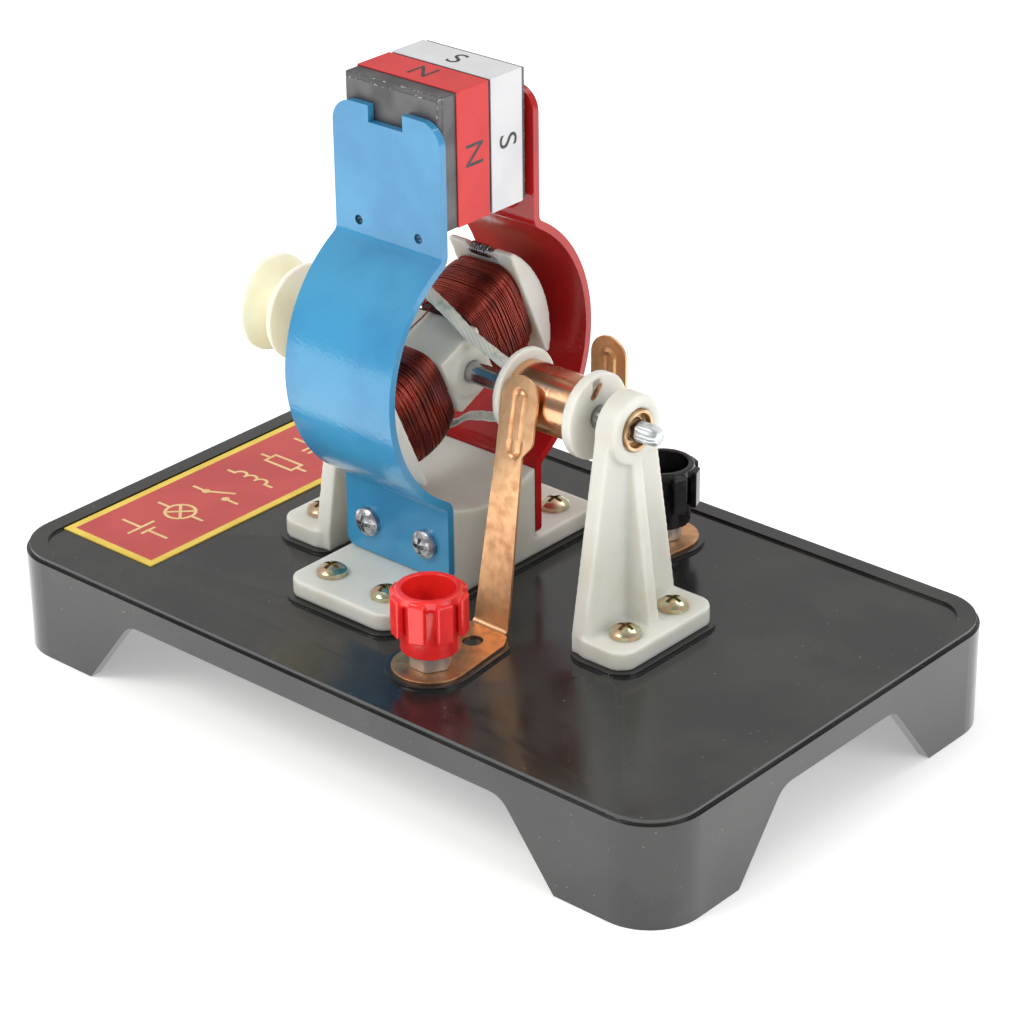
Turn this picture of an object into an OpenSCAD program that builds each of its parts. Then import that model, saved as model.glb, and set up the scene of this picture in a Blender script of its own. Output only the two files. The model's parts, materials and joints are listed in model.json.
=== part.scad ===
// Classroom demonstration motor on a black moulded base.
// Origin: centre of the base on the table. +X runs along the shaft to the
// commutator end, -Y is the blue pole, +Z is up. All sizes are millimetres.

/* [Base] */
// Length of the base, along the shaft
base_len = 160; // [150:1:200]
// Width of the base
base_wid = 99; // [94:1:130]
// Radius of the base's upright corners
base_corner_r = 10.7; // [6:0.1:14]
// Height of the side walls up to the shoulder
base_wall_h = 20.1; // [18:0.1:26]
// Thickness of the walls and of the deck
base_wall = 2.4; // [1.8:0.1:3.5]
// Width of the raised rim, from the outer face to the deck
rim_wid = 4.1; // [3:0.1:6]
// Step from the shoulder up to the top of the rim
rim_rise = 1.1; // [0.8:0.1:1.6]
// Drop from the top of the rim down to the deck
deck_drop = 0.5; // [0.3:0.1:0.8]
// Height of the arches between the feet
arch_h = 15; // [10:0.1:16]
// Length of each foot along the long side, at the floor
foot_len = 22.6; // [18:0.1:30]
// Width of each foot along the short side, at the floor
foot_wid = 21.6; // [17:0.1:26]
// How far the arch leans inwards for each millimetre of height
arch_lean = 0.78; // [0.4:0.01:0.9]
// Radius in the arch's upper corners
arch_fillet = 5; // [2:0.5:6]
// Height of the raised pads under the bolted pieces
pad_h = 0.6; // [0.3:0.1:1]
// How far a pad stands out round the piece on it
pad_margin = 1.1; // [0.6:0.1:2]

/* [Deck label] */
// Width of the label
label_wid = 24.1; // [16:0.1:28]
// Length of the label
label_len = 75.8; // [50:0.1:80]
// Distance from the base's end to the label
label_inset = 4.4; // [4.2:0.1:6]
// Thickness of the label
label_t = 0.25; // [0.15:0.05:0.5]

/* [Shaft and rotor] */
// Height of the shaft above the table
axis_h = 61.5; // [61:0.1:66]
// Diameter of the shaft
shaft_d = 4; // [3:0.1:4.6]
// Length of shaft in front of the front pillar's boss
shaft_front = 4.5; // [2:0.1:12]
// Length of shaft behind the pulley
shaft_rear = 1.5; // [0.5:0.1:6]
// Angle of the rotor's pole line at rest, above level
pole_angle = 24; // [0:1:90]
// Radius of the rotor over its shoes
rotor_r = 22.6; // [20:0.1:22.8]
// Length of the rotor along the shaft
rotor_len = 15.3; // [12:0.1:18]
// Height of the hub block across the pole line
hub_h = 12.4; // [11:0.1:13]
// Width of the hub block along the pole line
hub_w = 10.6; // [10:0.1:13]
// Distance from the shaft to the flat inside of a shoe
shoe_seat = 18; // [16:0.1:19]
// Width of a shoe across the pole line
shoe_w = 24.4; // [20:0.1:25.5]
// Width and height of a bobbin's neck
neck_w = 6.4; // [5:0.1:8]
// Width and height of the iron core inside a neck
core_w = 4.2; // [3:0.1:4.6]

/* [Windings] */
// Number of turns that show on each bobbin
turns = 12; // [6:1:12]
// Thickness of the wire
wire_d = 0.42; // [0.3:0.01:0.45]
// Half length of the winding along the shaft, at the hub
wind_x_in = 6.3; // [4.6:0.1:6.4]
// Half length of the winding along the shaft, at the shoe
wind_x_out = 6.2; // [4.6:0.1:6.4]
// Half height of the winding at the hub
wind_t_in = 8.2; // [6.8:0.1:8.4]
// Half height of the winding at the shoe
wind_t_out = 8.8; // [7:0.1:9]
// How far the middle of the winding swells
wind_bulge = 0.9; // [0:0.1:1]

/* [Commutator and brushes] */
// Distance from the magnet stand's centre line to the first flange
comm_start = 19.3; // [18:0.1:19.4]
// Length of the copper between the flanges
comm_len = 14.7; // [14:0.1:15]
// Outer diameter of the copper
comm_d = 12; // [10:0.1:13]
// Wall of the copper
comm_t = 1; // [0.6:0.1:1.2]
// Gap between the two copper segments
comm_gap = 2.4; // [1:0.1:3]
// Angle of the gap ahead of the pole line
comm_lead = 16.5; // [0:0.5:45]
// Diameter of the commutator's flanges
flange_d = 16; // [14.5:0.1:17]
// Thickness of the flange beside the rotor
flange_t = 1.3; // [1:0.1:2]
// Thickness of the flange beside the pillar
end_flange_t = 2; // [1.2:0.1:2.4]
// Thickness of the brush strip
strip_t = 0.5; // [0.3:0.05:0.8]
// Width of the brush arm where it leaves the deck
arm_foot_w = 8; // [6:0.1:9]
// Width of the brush arm at its neck
arm_neck_w = 6; // [4:0.1:7]
// Width of the rounded head of the brush arm
arm_head_w = 8.1; // [7:0.1:8.3]
// Length of the head
arm_head_len = 13.6; // [11:0.1:15]
// How far the head reaches above the shaft
arm_reach = 5.9; // [4:0.1:9]
// Distance from the shaft to the bend of each brush, along Y
bend_y = 15.1; // [14:0.1:17]
// Clearance between brush and copper
brush_gap = 0.15; // [0.1:0.05:0.4]
// Lean of the rear brush at rest, in degrees from upright
rear_lean = 0; // [0:0.1:5]

/* [Terminals] */
// Distance from the shaft to each terminal, along Y
terminal_y = 32.4; // [30:0.1:36]
// Diameter of the terminal stud
stud_d = 4; // [3.5:0.1:4.2]
// Width across the flats of the terminal nut
nut_w = 7; // [6.6:0.1:8]
// Height of the terminal nut
nut_h = 3.1; // [2.4:0.1:3.6]
// Radius of the brush plate round the terminal
plate_r = 7; // [6:0.1:8]
// Diameter of the spare hole in the brush plate
spare_hole_d = 3.8; // [3:0.1:4.2]
// Height of the screw cap
cap_h = 11.9; // [11:0.1:14]
// Diameter of the cap's top ring
cap_ring_d = 11.9; // [11.4:0.1:12.2]
// Diameter over the grip ribs
cap_rib_d = 13.9; // [13.4:0.1:15]
// Diameter of the cap's barrel
cap_barrel_d = 10.7; // [10.2:0.1:11]
// Inside diameter of the cap's open cup
cup_d = 9.6; // [8.6:0.1:9.8]
// Depth of the open cup
cup_depth = 5.4; // [4.5:0.1:5.6]
// Number of grip ribs
rib_count = 8; // [6:1:10]

/* [Field magnet and poles] */
// Distance between the inner faces of the two poles
pole_gap = 22.8; // [22:0.1:23.4]
// Thickness of the pole sheet
pole_t = 1.5; // [1:0.1:1.5]
// Width of the pole sheet along the shaft
pole_w = 25.4; // [23:0.1:27]
// Inner radius of the curved part
pole_r = 25.8; // [25.6:0.1:28]
// Height of the curve's centre above the shaft
pole_rise = 2.6; // [2:0.1:3]
// Radius of the two bends, inside face
bend_r = 3; // [2.5:0.1:4]
// Height of the poles' top edge above the table
pole_top = 113; // [105:0.1:118]
// Radius of the top corners
pole_corner_r = 4.5; // [2:0.1:6]
// Width of the notch in the top edge
notch_w = 8.1; // [4:0.1:12]
// Depth of the notch
notch_d = 3; // [1:0.1:5]
// Length of the magnets along the shaft
magnet_len = 22.8; // [20:0.1:25]
// Height of the magnets
magnet_h = 24.6; // [18:0.1:28]
// Height of the magnets' underside above the table
magnet_z = 92.6; // [91:0.1:96]
// Distance of the seam between the magnets from the shaft's plane
seam_y = 1.2; // [0:0.1:2]
// Clearance between a magnet and its pole
magnet_gap = 0.15; // [0.1:0.05:0.3]
// Radius of the pips that the magnets rest on
pip_r = 1.5; // [1:0.1:2]
// Thickness of the coloured paper on the magnets
paper_t = 0.3; // [0.2:0.05:0.5]
// Strip of the north magnet that its paper leaves bare beside the blue pole
north_bare = 3.9; // [1:0.1:5]
// Strip of the south magnet that its paper leaves bare beside the red pole
south_bare = 1.6; // [0.4:0.1:3]

/* [Stand and pillars] */
// Thickness of the flanges that are screwed down
foot_t = 3.6; // [2.5:0.1:5]
// Centre of the magnet stand along the shaft
stand_x = -11.4; // [-12:0.1:-11]
// Length of the stand's flange across the shaft
stand_wid = 59.6; // [56:0.1:62]
// Clearance between the rotor's path and the stand
saddle_gap = 2; // [1:0.1:2.4]
// Corner radius of the flanges
foot_corner_r = 3.6; // [2:0.1:4]
// Inner face of the front pillar
front_pillar_x = 30.1; // [29:0.1:34]
// Inner face of the rear pillar
rear_pillar_x = -29.4; // [-34:0.1:-28]
// Length of a pillar's flange along the shaft
pillar_len = 12.7; // [11.5:0.1:15]
// Width of a pillar's flange
pillar_wid = 26.6; // [24:0.1:30]
// Thickness of the pillar's upright plate
upright_t = 3.3; // [2.5:0.1:4]
// Diameter of the boss that holds the bush
boss_d = 12.8; // [11.5:0.1:15]
// Thickness of the boss
boss_t = 4.6; // [4:0.1:6]
// Thickness of the pillar's rib
rib_t = 2.6; // [1.8:0.1:4]
// Outer diameter of the bush
bush_d = 7.8; // [7:0.1:8.4]
// Running clearance between shaft and bush, radial
bush_clear = 0.05; // [0.02:0.01:0.1]

/* [Pulley] */
// Outer diameter of the pulley
pulley_d = 18.8; // [14:0.1:24]
// Width of the pulley
pulley_w = 8.5; // [6:0.1:10]
// Depth of the belt groove
groove_depth = 4.2; // [2:0.1:5]
// Distance from the rear pillar's boss to the pulley
pulley_space = 12; // [8:0.1:14]

/* [Screws] */
// Diameter of the yellow screws' heads
yellow_head_d = 5.7; // [5:0.1:6]
// Diameter of the yellow screws' shanks
yellow_shank_d = 2.9; // [2.5:0.1:3]
// Length of the yellow screws below their heads
yellow_len = 10.5; // [9:0.5:13]
// Width of the yellow screws' nuts across their flats
yellow_nut_af = 5.5; // [5:0.1:6]
// Height of the yellow screws' nuts
yellow_nut_h = 2.4; // [1.8:0.1:3]
// Diameter of the silver screws' heads
silver_head_d = 5.5; // [5:0.1:6]
// Diameter of the silver screws' shanks
silver_shank_d = 3; // [2.5:0.1:3]
// Length of the silver screws below their heads
silver_len = 8; // [5:0.5:10]

/* [Hidden] */
$fn = 64;

// Overlap that keeps a cut clear of the faces it passes through
cut = 1;

// Heights on the base
rim_top = base_wall_h + rim_rise;
deck_z = rim_top - deck_drop;
deck_under = deck_z - base_wall;
pad_z = deck_z + pad_h;
foot_top = pad_z + foot_t;

// Screw places
stand_screw_dx = 6.8;
stand_screw_y = stand_wid / 2 - 6.4;
pillar_screw_x = 7.6;
pillar_screw_y = pillar_wid / 2 - 6.6;
screw_clear = 0.15;
pole_screw_dx = 7.1;
pole_screw_z = foot_top + 6.6;

// Rotor places along the shaft
rotor_x = stand_x - 0.75;
rotor_front = rotor_x + rotor_len / 2;
comm_x0 = stand_x + comm_start;
comm_x1 = comm_x0 + flange_t;
comm_x2 = comm_x1 + comm_len;
comm_x3 = comm_x2 + end_flange_t;
front_boss_x = front_pillar_x + boss_t;
rear_boss_x = rear_pillar_x - boss_t;
bush_proud = 0.4;
pulley_x1 = rear_boss_x - pulley_space;
pulley_x0 = pulley_x1 - pulley_w;
shaft_x0 = pulley_x0 - shaft_rear;
shaft_x1 = front_boss_x + bush_proud + shaft_front;
shaft_r = shaft_d / 2;
shaft_step = 0.2;
comm_r = comm_d / 2;

// Winding places on a bobbin, measured out from the shaft
wind_u0 = hub_w / 2 + 2 * wire_d;
wind_u1 = shoe_seat - 2 * wire_d;
turn_pitch = (wind_u1 - wind_u0) / turns;
turn_rings = 24;
wire_lift = wire_d / 2 + 0.1;
wire_sides = 6;

// Balance wire on the upper shoe
wraps = 6;
wrap_d = 0.5;
wrap_pitch = 0.95;
wrap_tilt = 18;
wrap_r = rotor_r - 1;
wrap_tip = sqrt(wrap_r * wrap_r - shoe_seat * shoe_seat);
slot_t0 = shoe_w / 2 - 2.7;
slot_t1 = slot_t0 + 0.9;

// Lead sleeves
sleeve_w = 2.3;
sleeve_t = 0.8;
sleeve_z = hub_h / 2 + sleeve_t / 2 + 0.1;

// Poles and magnets
stand_half = pole_gap / 2;
pole_half = pole_gap / 2;
arc_z = axis_h + pole_rise;
pole_base_z = foot_top + 0.2;
magnet_half = pole_half - magnet_gap;
pip_z = magnet_z - pip_r;

// Brushes
plate_z = pad_z + strip_t;
arm_x = front_pillar_x - 16.6;
terminal_x = arm_x + 1;
spare_x = arm_x + 1.1;
spare_y = bend_y + 6.4;
arm_gap = 0.35;
tongue_w = 3.2;
tongue_t = 0.6;
tongue_len = 12.4;
brush_y = comm_r + tongue_t + brush_gap;
arm_rise = axis_h - plate_z;
brush_lean = atan2(bend_y - brush_y, arm_rise);
arm_len = (arm_rise + arm_reach) / cos(brush_lean);
neck_shift = -0.9;
head_shift = 0.05;

// Terminal heights
nut_z = plate_z;
cap_z = nut_z + nut_h + 0.3;
cup_floor_z = cap_z + cap_h - cup_depth;
insert_r = 3.4;
insert_top = cup_floor_z - 0.5;
stud_top = insert_top - 0.3;
turn_clear = 0.05;

// ---------- shared shapes ----------

// Flat rectangle with round corners, centred
module round_rect(l, w, r) {
    square([l - 2 * r, w], center = true);
    square([l, w - 2 * r], center = true);
    for (sx = [-1, 1], sy = [-1, 1])
        translate([sx * (l / 2 - r), sy * (w / 2 - r)]) circle(r);
}

// Block with round upright corners, from z0 to z1
module round_block(l, w, r, z0, z1) {
    translate([0, 0, z0]) linear_extrude(z1 - z0) round_rect(l, w, r);
}

// Rod along X from x0 to x1
module rod_x(x0, x1, r) {
    translate([x0, 0, 0]) rotate([0, 90, 0]) cylinder(h = x1 - x0, r = r);
}

// Moves a piece drawn round the X axis up onto the shaft line
module on_shaft() {
    translate([0, 0, axis_h]) children();
}

// Turns a piece to the rotor's rest angle: +Y is then the upper pole
module on_rotor() {
    on_shaft() rotate([pole_angle, 0, 0]) children();
}

// Points of an arc, from angle a0 to a1 in n steps
function arc_points(c, r, a0, a1, n) =
    [for (i = [0:n]) c + r * [cos(a0 + (a1 - a0) * i / n), sin(a0 + (a1 - a0) * i / n)]];

// Pan head with a cross recess, seat at z = 0
module pan_head(d, h) {
    difference() {
        intersection() {
            cylinder(h = h, d = d);
            translate([0, 0, h - d * 0.72]) sphere(d * 0.72);
        }
        for (a = [0, 90])
            rotate([0, 0, a]) translate([-d * 0.3, -d * 0.07, h * 0.45]) cube([d * 0.6, d * 0.14, h]);
    }
}

// Screw pointing down, head seat at z = 0
module screw(head_d, shank_d, len) {
    pan_head(head_d, head_d * 0.36);
    translate([0, 0, -len]) cylinder(h = len + 0.3, d = shank_d);
}

module yellow_screw() {
    screw(yellow_head_d, yellow_shank_d, yellow_len);
}

module silver_screw() {
    screw(silver_head_d, silver_shank_d, silver_len);
}

// ---------- places of the screws ----------

module at_stand_screws() {
    for (sx = [-1, 1], sy = [-1, 1])
        translate([stand_x + sx * stand_screw_dx, sy * stand_screw_y, 0]) children();
}

module at_front_pillar_screws() {
    for (sy = [-1, 1])
        translate([front_pillar_x + pillar_screw_x, sy * pillar_screw_y, 0]) children();
}

module at_rear_pillar_screws() {
    for (sy = [-1, 1])
        translate([rear_pillar_x - pillar_screw_x, sy * pillar_screw_y, 0]) children();
}

module at_all_deck_screws() {
    at_stand_screws() children();
    at_front_pillar_screws() children();
    at_rear_pillar_screws() children();
}

module at_terminals() {
    for (sy = [-1, 1]) translate([terminal_x, sy * terminal_y, 0]) children();
}

// ---------- base ----------

// Outline of an arch: leaning sides, filleted upper corners
module arch_outline(half_w) {
    norm = sqrt(1 + arch_lean * arch_lean);
    cx = half_w - arch_lean * (arch_h - arch_fillet) - arch_fillet * norm;
    a0 = atan(arch_lean);
    right = concat([[half_w + arch_lean * cut, -cut]],
        arc_points([cx, arch_h - arch_fillet], arch_fillet, a0, 90, 8));
    left = [for (i = [len(right) - 1:-1:0]) [-right[i][0], right[i][1]]];
    polygon(concat(right, left));
}

module base_shell() {
    side = base_len / 2;
    front = base_wid / 2;
    color("#1b1b1d") difference() {
        union() {
            difference() {
                union() {
                    round_block(base_len, base_wid, base_corner_r, 0, base_wall_h);
                    round_block(base_len - 1.2, base_wid - 1.2, base_corner_r - 0.6,
                        base_wall_h - cut, rim_top);
                }
                round_block(base_len - 2 * rim_wid, base_wid - 2 * rim_wid,
                    base_corner_r - rim_wid, deck_z, rim_top + cut);
                round_block(base_len - 2 * base_wall, base_wid - 2 * base_wall,
                    base_corner_r - base_wall, -cut, deck_under);
                translate([0, front + cut, 0]) rotate([90, 0, 0])
                    linear_extrude(base_wid + 2 * cut) arch_outline(side - foot_len);
                translate([-side - cut, 0, 0]) rotate([90, 0, 90])
                    linear_extrude(base_len + 2 * cut) arch_outline(front - foot_wid);
            }
            stand_pad();
            pillar_pad(front_pillar_x + pillar_len / 2);
            pillar_pad(rear_pillar_x - pillar_len / 2);
            brush_pad();
            on_rear_side() brush_pad();
        }
        at_all_deck_screws() translate([0, 0, deck_under - cut])
            cylinder(h = pad_z - deck_under + 2 * cut, d = yellow_shank_d);
        at_terminals() translate([0, 0, deck_under - cut])
            cylinder(h = 10, r = stud_d / 2 + screw_clear);
    }
}

module stand_pad() {
    translate([stand_x, 0, 0])
        round_block(pole_w + 2 * pad_margin, stand_wid + 2 * pad_margin,
            foot_corner_r + pad_margin, deck_z - cut, pad_z);
}

module pillar_pad(x) {
    translate([x, 0, 0])
        round_block(pillar_len + 2 * pad_margin, pillar_wid + 2 * pad_margin,
            foot_corner_r + pad_margin, deck_z - cut, pad_z);
}

module brush_pad() {
    translate([0, 0, deck_z - cut]) linear_extrude(pad_h + cut) plate_outline(pad_margin);
}

module deck_label() {
    x0 = -base_len / 2 + label_inset;
    color("#c8242b") translate([x0 + label_wid / 2, 0, deck_z + label_t / 2])
        cube([label_wid, label_len, label_t], center = true);
}

// ---------- stand and pillars ----------

module magnet_stand() {
    riser_top = axis_h - 20;
    color("#eceae0") difference() {
        union() {
            translate([stand_x, 0, 0]) round_block(pole_w, stand_wid, foot_corner_r, pad_z, foot_top);
            translate([stand_x - pole_w / 2, -stand_half, foot_top - cut])
                cube([pole_w, pole_gap, riser_top - foot_top + cut]);
        }
        on_shaft() rod_x(stand_x - pole_w, stand_x + pole_w, rotor_r + saddle_gap);
        at_stand_screws() translate([0, 0, pad_z - cut])
            cylinder(h = foot_t + 2 * cut, d = yellow_shank_d);
        for (sy = [-1, 1], sx = [-1, 1])
            translate([stand_x + sx * pole_screw_dx, sy * stand_half, pole_screw_z])
                rotate([90 * sy, 0, 0]) translate([0, 0, -cut])
                cylinder(h = silver_len - pole_t + 1 + cut, d = silver_shank_d);
    }
}

// Pillar with its inner face at x = 0 and its flange towards +X
module pillar() {
    half_foot = pillar_wid / 2 - 0.6;
    boss_r = boss_d / 2;
    rib_foot = 8.9;
    difference() {
        union() {
            translate([pillar_len / 2, 0, 0])
                round_block(pillar_len, pillar_wid, foot_corner_r, pad_z, foot_top);
            rotate([90, 0, 90]) linear_extrude(upright_t)
                polygon([[-half_foot, pad_z], [half_foot, pad_z], [half_foot, foot_top],
                    [boss_r - 0.1, axis_h], [-boss_r + 0.1, axis_h], [-half_foot, foot_top]]);
            on_shaft() rod_x(0, boss_t, boss_r);
            translate([0, rib_t / 2, 0]) rotate([90, 0, 0]) linear_extrude(rib_t)
                polygon([[0, foot_top - cut], [rib_foot, foot_top - cut], [rib_foot, foot_top],
                    [boss_t, axis_h - boss_r + 1], [0, axis_h - boss_r + 1]]);
        }
        on_shaft() rod_x(-cut, boss_t + cut, bush_d / 2);
        for (sy = [-1, 1])
            translate([pillar_screw_x, sy * pillar_screw_y, pad_z - cut])
                cylinder(h = foot_t + 2 * cut, d = yellow_shank_d);
    }
}

module front_pillar() {
    color("#eceae0") translate([front_pillar_x, 0, 0]) pillar();
}

module rear_pillar() {
    color("#eceae0") translate([rear_pillar_x, 0, 0]) mirror([1, 0, 0]) pillar();
}

// Bush with its inner end at x = 0, counterbored on the outside
module bush() {
    color("#b9854a") on_shaft() difference() {
        rod_x(0, boss_t + bush_proud, bush_d / 2);
        rod_x(-cut, boss_t + 2 * cut, shaft_r + bush_clear);
        rod_x(boss_t - 0.8, boss_t + 2 * cut, bush_d / 2 - 0.8);
    }
}

module front_bush() {
    translate([front_pillar_x, 0, 0]) bush();
}

module rear_bush() {
    translate([rear_pillar_x, 0, 0]) mirror([1, 0, 0]) bush();
}

// ---------- screws ----------

module stand_screws() {
    color("#c9c08a") at_stand_screws() translate([0, 0, foot_top]) yellow_screw();
}

module front_pillar_screws() {
    color("#c9c08a") at_front_pillar_screws() translate([0, 0, foot_top]) yellow_screw();
}

module rear_pillar_screws() {
    color("#c9c08a") at_rear_pillar_screws() translate([0, 0, foot_top]) yellow_screw();
}

// Hex nuts of the yellow screws, up against the deck's underside
module deck_nuts() {
    color("#c9c08a") at_all_deck_screws() translate([0, 0, deck_under - yellow_nut_h]) difference() {
        cylinder(h = yellow_nut_h, d = yellow_nut_af / cos(30), $fn = 6);
        translate([0, 0, -cut]) cylinder(h = yellow_nut_h + 2 * cut, d = yellow_shank_d);
    }
}

// Silver screws of the pole on side sy
module pole_screws(sy) {
    color("#c9ccd0") for (sx = [-1, 1])
        translate([stand_x + sx * pole_screw_dx, sy * (pole_half + pole_t), pole_screw_z])
            rotate([-90 * sy, 0, 0]) silver_screw();
}

module blue_pole_screws() {
    pole_screws(-1);
}

module red_pole_screws() {
    pole_screws(1);
}

// ---------- poles and magnets ----------

// One face of the pole sheet, s out from the inner face, bottom to top
function pole_face(s) =
    let (fy = pole_half + bend_r, dz = sqrt(pow(pole_r + bend_r, 2) - fy * fy),
        a = atan2(dz, fy))
    concat([[pole_half + s, pole_base_z]],
        arc_points([fy, arc_z - dz], bend_r - s, 180, 180 - a, 8),
        arc_points([0, arc_z], pole_r + s, -a, a, 40),
        arc_points([fy, arc_z + dz], bend_r - s, 180 + a, 180, 8),
        [[pole_half + s, pole_top]]);

// Outline of the sheet seen along Y: round corners and the notch
module pole_outline() {
    difference() {
        union() {
            translate([0, (pole_base_z + pole_top) / 2])
                round_rect(pole_w, pole_top - pole_base_z, pole_corner_r);
            translate([0, pole_base_z + 6]) round_rect(pole_w, 12, 2);
        }
        translate([-notch_w / 2, pole_top - notch_d]) square([notch_w, notch_d + cut]);
    }
}

// Pole on the +Y side
module pole() {
    inner = pole_face(0);
    outer = pole_face(pole_t);
    n = len(outer);
    translate([stand_x, 0, 0]) difference() {
        union() {
            intersection() {
                translate([-pole_w, 0, 0]) rotate([90, 0, 90]) linear_extrude(2 * pole_w)
                    polygon(concat(inner, [for (i = [n - 1:-1:0]) outer[i]]));
                rotate([90, 0, 180]) linear_extrude(2 * pole_r) pole_outline();
            }
            for (sx = [-1, 1])
                translate([sx * pole_screw_dx, pole_half + pole_t / 2, pip_z]) rotate([90, 0, 0])
                    pip();
        }
        for (sx = [-1, 1]) {
            translate([sx * pole_screw_dx, pole_half - cut, pole_screw_z]) rotate([-90, 0, 0])
                cylinder(h = pole_t + 2 * cut, r = silver_shank_d / 2 + screw_clear);
            translate([sx * pole_screw_dx, pole_half + pole_t, pip_z]) sphere(r = 0.9);
        }
    }
}

// Round-nosed pip that stands inside the pole, drawn towards +Z
module pip() {
    cylinder(h = pole_t / 2 + 0.2, r = pip_r);
    translate([0, 0, pole_t / 2 + 0.2]) sphere(r = pip_r);
}

module blue_pole() {
    color("#3f9bd3") mirror([0, 1, 0]) pole();
}

module red_pole() {
    color("#c62026") pole();
}

// Block magnet from y0 to y1, with its edges broken
module magnet(y0, y1) {
    e = 0.7;
    half_w = (y1 - y0) / 2;
    translate([stand_x, (y0 + y1) / 2, 0]) intersection() {
        translate([0, 0, magnet_z]) linear_extrude(magnet_h)
            polygon(chamfered(magnet_len / 2, half_w, e));
        translate([-magnet_len, 0, magnet_z + magnet_h / 2]) rotate([90, 0, 90])
            linear_extrude(2 * magnet_len) polygon(chamfered(half_w, magnet_h / 2, e));
    }
}

// Corners of a rectangle with its corners cut off by e
function chamfered(a, b, e) = [[a - e, -b], [a, -b + e], [a, b - e], [a - e, b],
    [-a + e, b], [-a, b - e], [-a, -b + e], [-a + e, -b]];

module north_magnet() {
    color("#3a3a3d") magnet(-magnet_half, seam_y);
}

module south_magnet() {
    color("#3a3a3d") magnet(seam_y, magnet_half);
}

// Paper folded over the top and both ends of a magnet, from y0 to y1
module paper(y0, y1) {
    half = magnet_len / 2;
    top = magnet_z + magnet_h;
    translate([stand_x, y0, 0]) difference() {
        translate([-half - paper_t, 0, magnet_z])
            cube([2 * (half + paper_t), y1 - y0, magnet_h + paper_t]);
        translate([-half, -cut, magnet_z - cut]) cube([2 * half, y1 - y0 + 2 * cut, magnet_h + cut]);
    }
}

module north_paper() {
    color("#d8272d") paper(-magnet_half + north_bare, seam_y - 0.3);
}

module south_paper() {
    color("#f2f2f2") paper(seam_y + 0.3, magnet_half - south_bare);
}

// ---------- brushes and terminals ----------

// Outline of the brush plate seen from above, -Y side, grown by m
module plate_outline(m) {
    hull() {
        translate([terminal_x, -terminal_y]) circle(r = plate_r + m, $fn = 48);
        translate([terminal_x + plate_r - 2.6, -bend_y - 4.4]) circle(r = 1.2 + m, $fn = 24);
        translate([arm_x - arm_foot_w / 2, -bend_y - 1]) square([arm_foot_w, 1 + m * 0.6]);
    }
}

module brush_plate() {
    color("#c97f4e") translate([0, 0, pad_z]) difference() {
        linear_extrude(strip_t) plate_outline(0);
        translate([terminal_x, -terminal_y, -cut]) cylinder(h = 3, d = stud_d);
        translate([spare_x, -spare_y, -cut]) cylinder(h = 3, d = spare_hole_d);
    }
}

// The rear brush is the same part as the front one, turned half a turn
module on_rear_side() {
    translate([2 * terminal_x, 0, 0]) rotate([0, 0, 180]) children();
}

module front_brush_plate() {
    brush_plate();
}

module rear_brush_plate() {
    on_rear_side() brush_plate();
}

// Brush arm standing upright on y = 0, foot at z = 0, contact face towards +Y
module brush_arm() {
    head_r = arm_head_w / 2;
    neck_z = arm_len - arm_head_len;
    head_z = arm_len - head_r;
    left = [[-arm_foot_w / 2, arm_gap], [neck_shift - arm_neck_w / 2, neck_z - 1.5],
        [head_shift - head_r, neck_z + 2]];
    right = [[head_shift + head_r, neck_z + 2], [neck_shift + arm_neck_w / 2, neck_z - 1.5],
        [arm_foot_w / 2, arm_gap]];
    color("#c97f4e") {
        rotate([90, 0, 0]) linear_extrude(strip_t)
            polygon(concat(left, arc_points([head_shift, head_z], head_r, 180, 0, 24), right));
        translate([head_shift, tongue_t, head_z + 1]) rotate([90, 0, 0]) tongue();
    }
}

// Ridge pressed out of the head, which runs on the copper
module tongue() {
    r = tongue_w / 2;
    low = r - tongue_len;
    translate([0, 0, 0]) cylinder(h = tongue_t + strip_t / 2, r = r);
    translate([0, low + r, 0]) cylinder(h = tongue_t + strip_t / 2, r = r);
    translate([-r, low + r, 0]) cube([tongue_w, -low - r, tongue_t + strip_t / 2]);
}

module front_brush_arm() {
    translate([arm_x, -bend_y, plate_z]) rotate([-brush_lean, 0, 0]) brush_arm();
}

module rear_brush_arm() {
    on_rear_side() translate([arm_x, -bend_y, plate_z]) rotate([rear_lean, 0, 0]) brush_arm();
}

// Terminal stud: cheese head under the deck, thread up through the plate
module stud(sy) {
    color("#b9bcc0") translate([terminal_x, sy * terminal_y, 0]) {
        translate([0, 0, deck_under - 2.6]) cylinder(h = 2.6, d = 7);
        translate([0, 0, deck_under - cut]) cylinder(h = stud_top - deck_under + cut, d = stud_d);
    }
}

module red_stud() {
    stud(-1);
}

module black_stud() {
    stud(1);
}

module hex_nut(sy) {
    color("#c9ccd0") translate([terminal_x, sy * terminal_y, nut_z]) difference() {
        intersection() {
            cylinder(h = nut_h, d = nut_w / cos(30), $fn = 6);
            cylinder(h = nut_h, d = nut_w * 1.09);
        }
        translate([0, 0, -cut]) cylinder(h = nut_h + 2 * cut, d = stud_d);
    }
}

module red_hex_nut() {
    hex_nut(-1);
}

module black_hex_nut() {
    hex_nut(1);
}

// Brass thread insert inside a cap
module cap_insert(sy) {
    z0 = cap_z + 0.3;
    color("#c8a14c") translate([terminal_x, sy * terminal_y, z0]) difference() {
        cylinder(h = insert_top - z0, r = insert_r);
        translate([0, 0, -cut]) cylinder(h = insert_top, r = stud_d / 2 + turn_clear);
    }
}

module red_cap_insert() {
    cap_insert(-1);
}

module black_cap_insert() {
    cap_insert(1);
}

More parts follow.
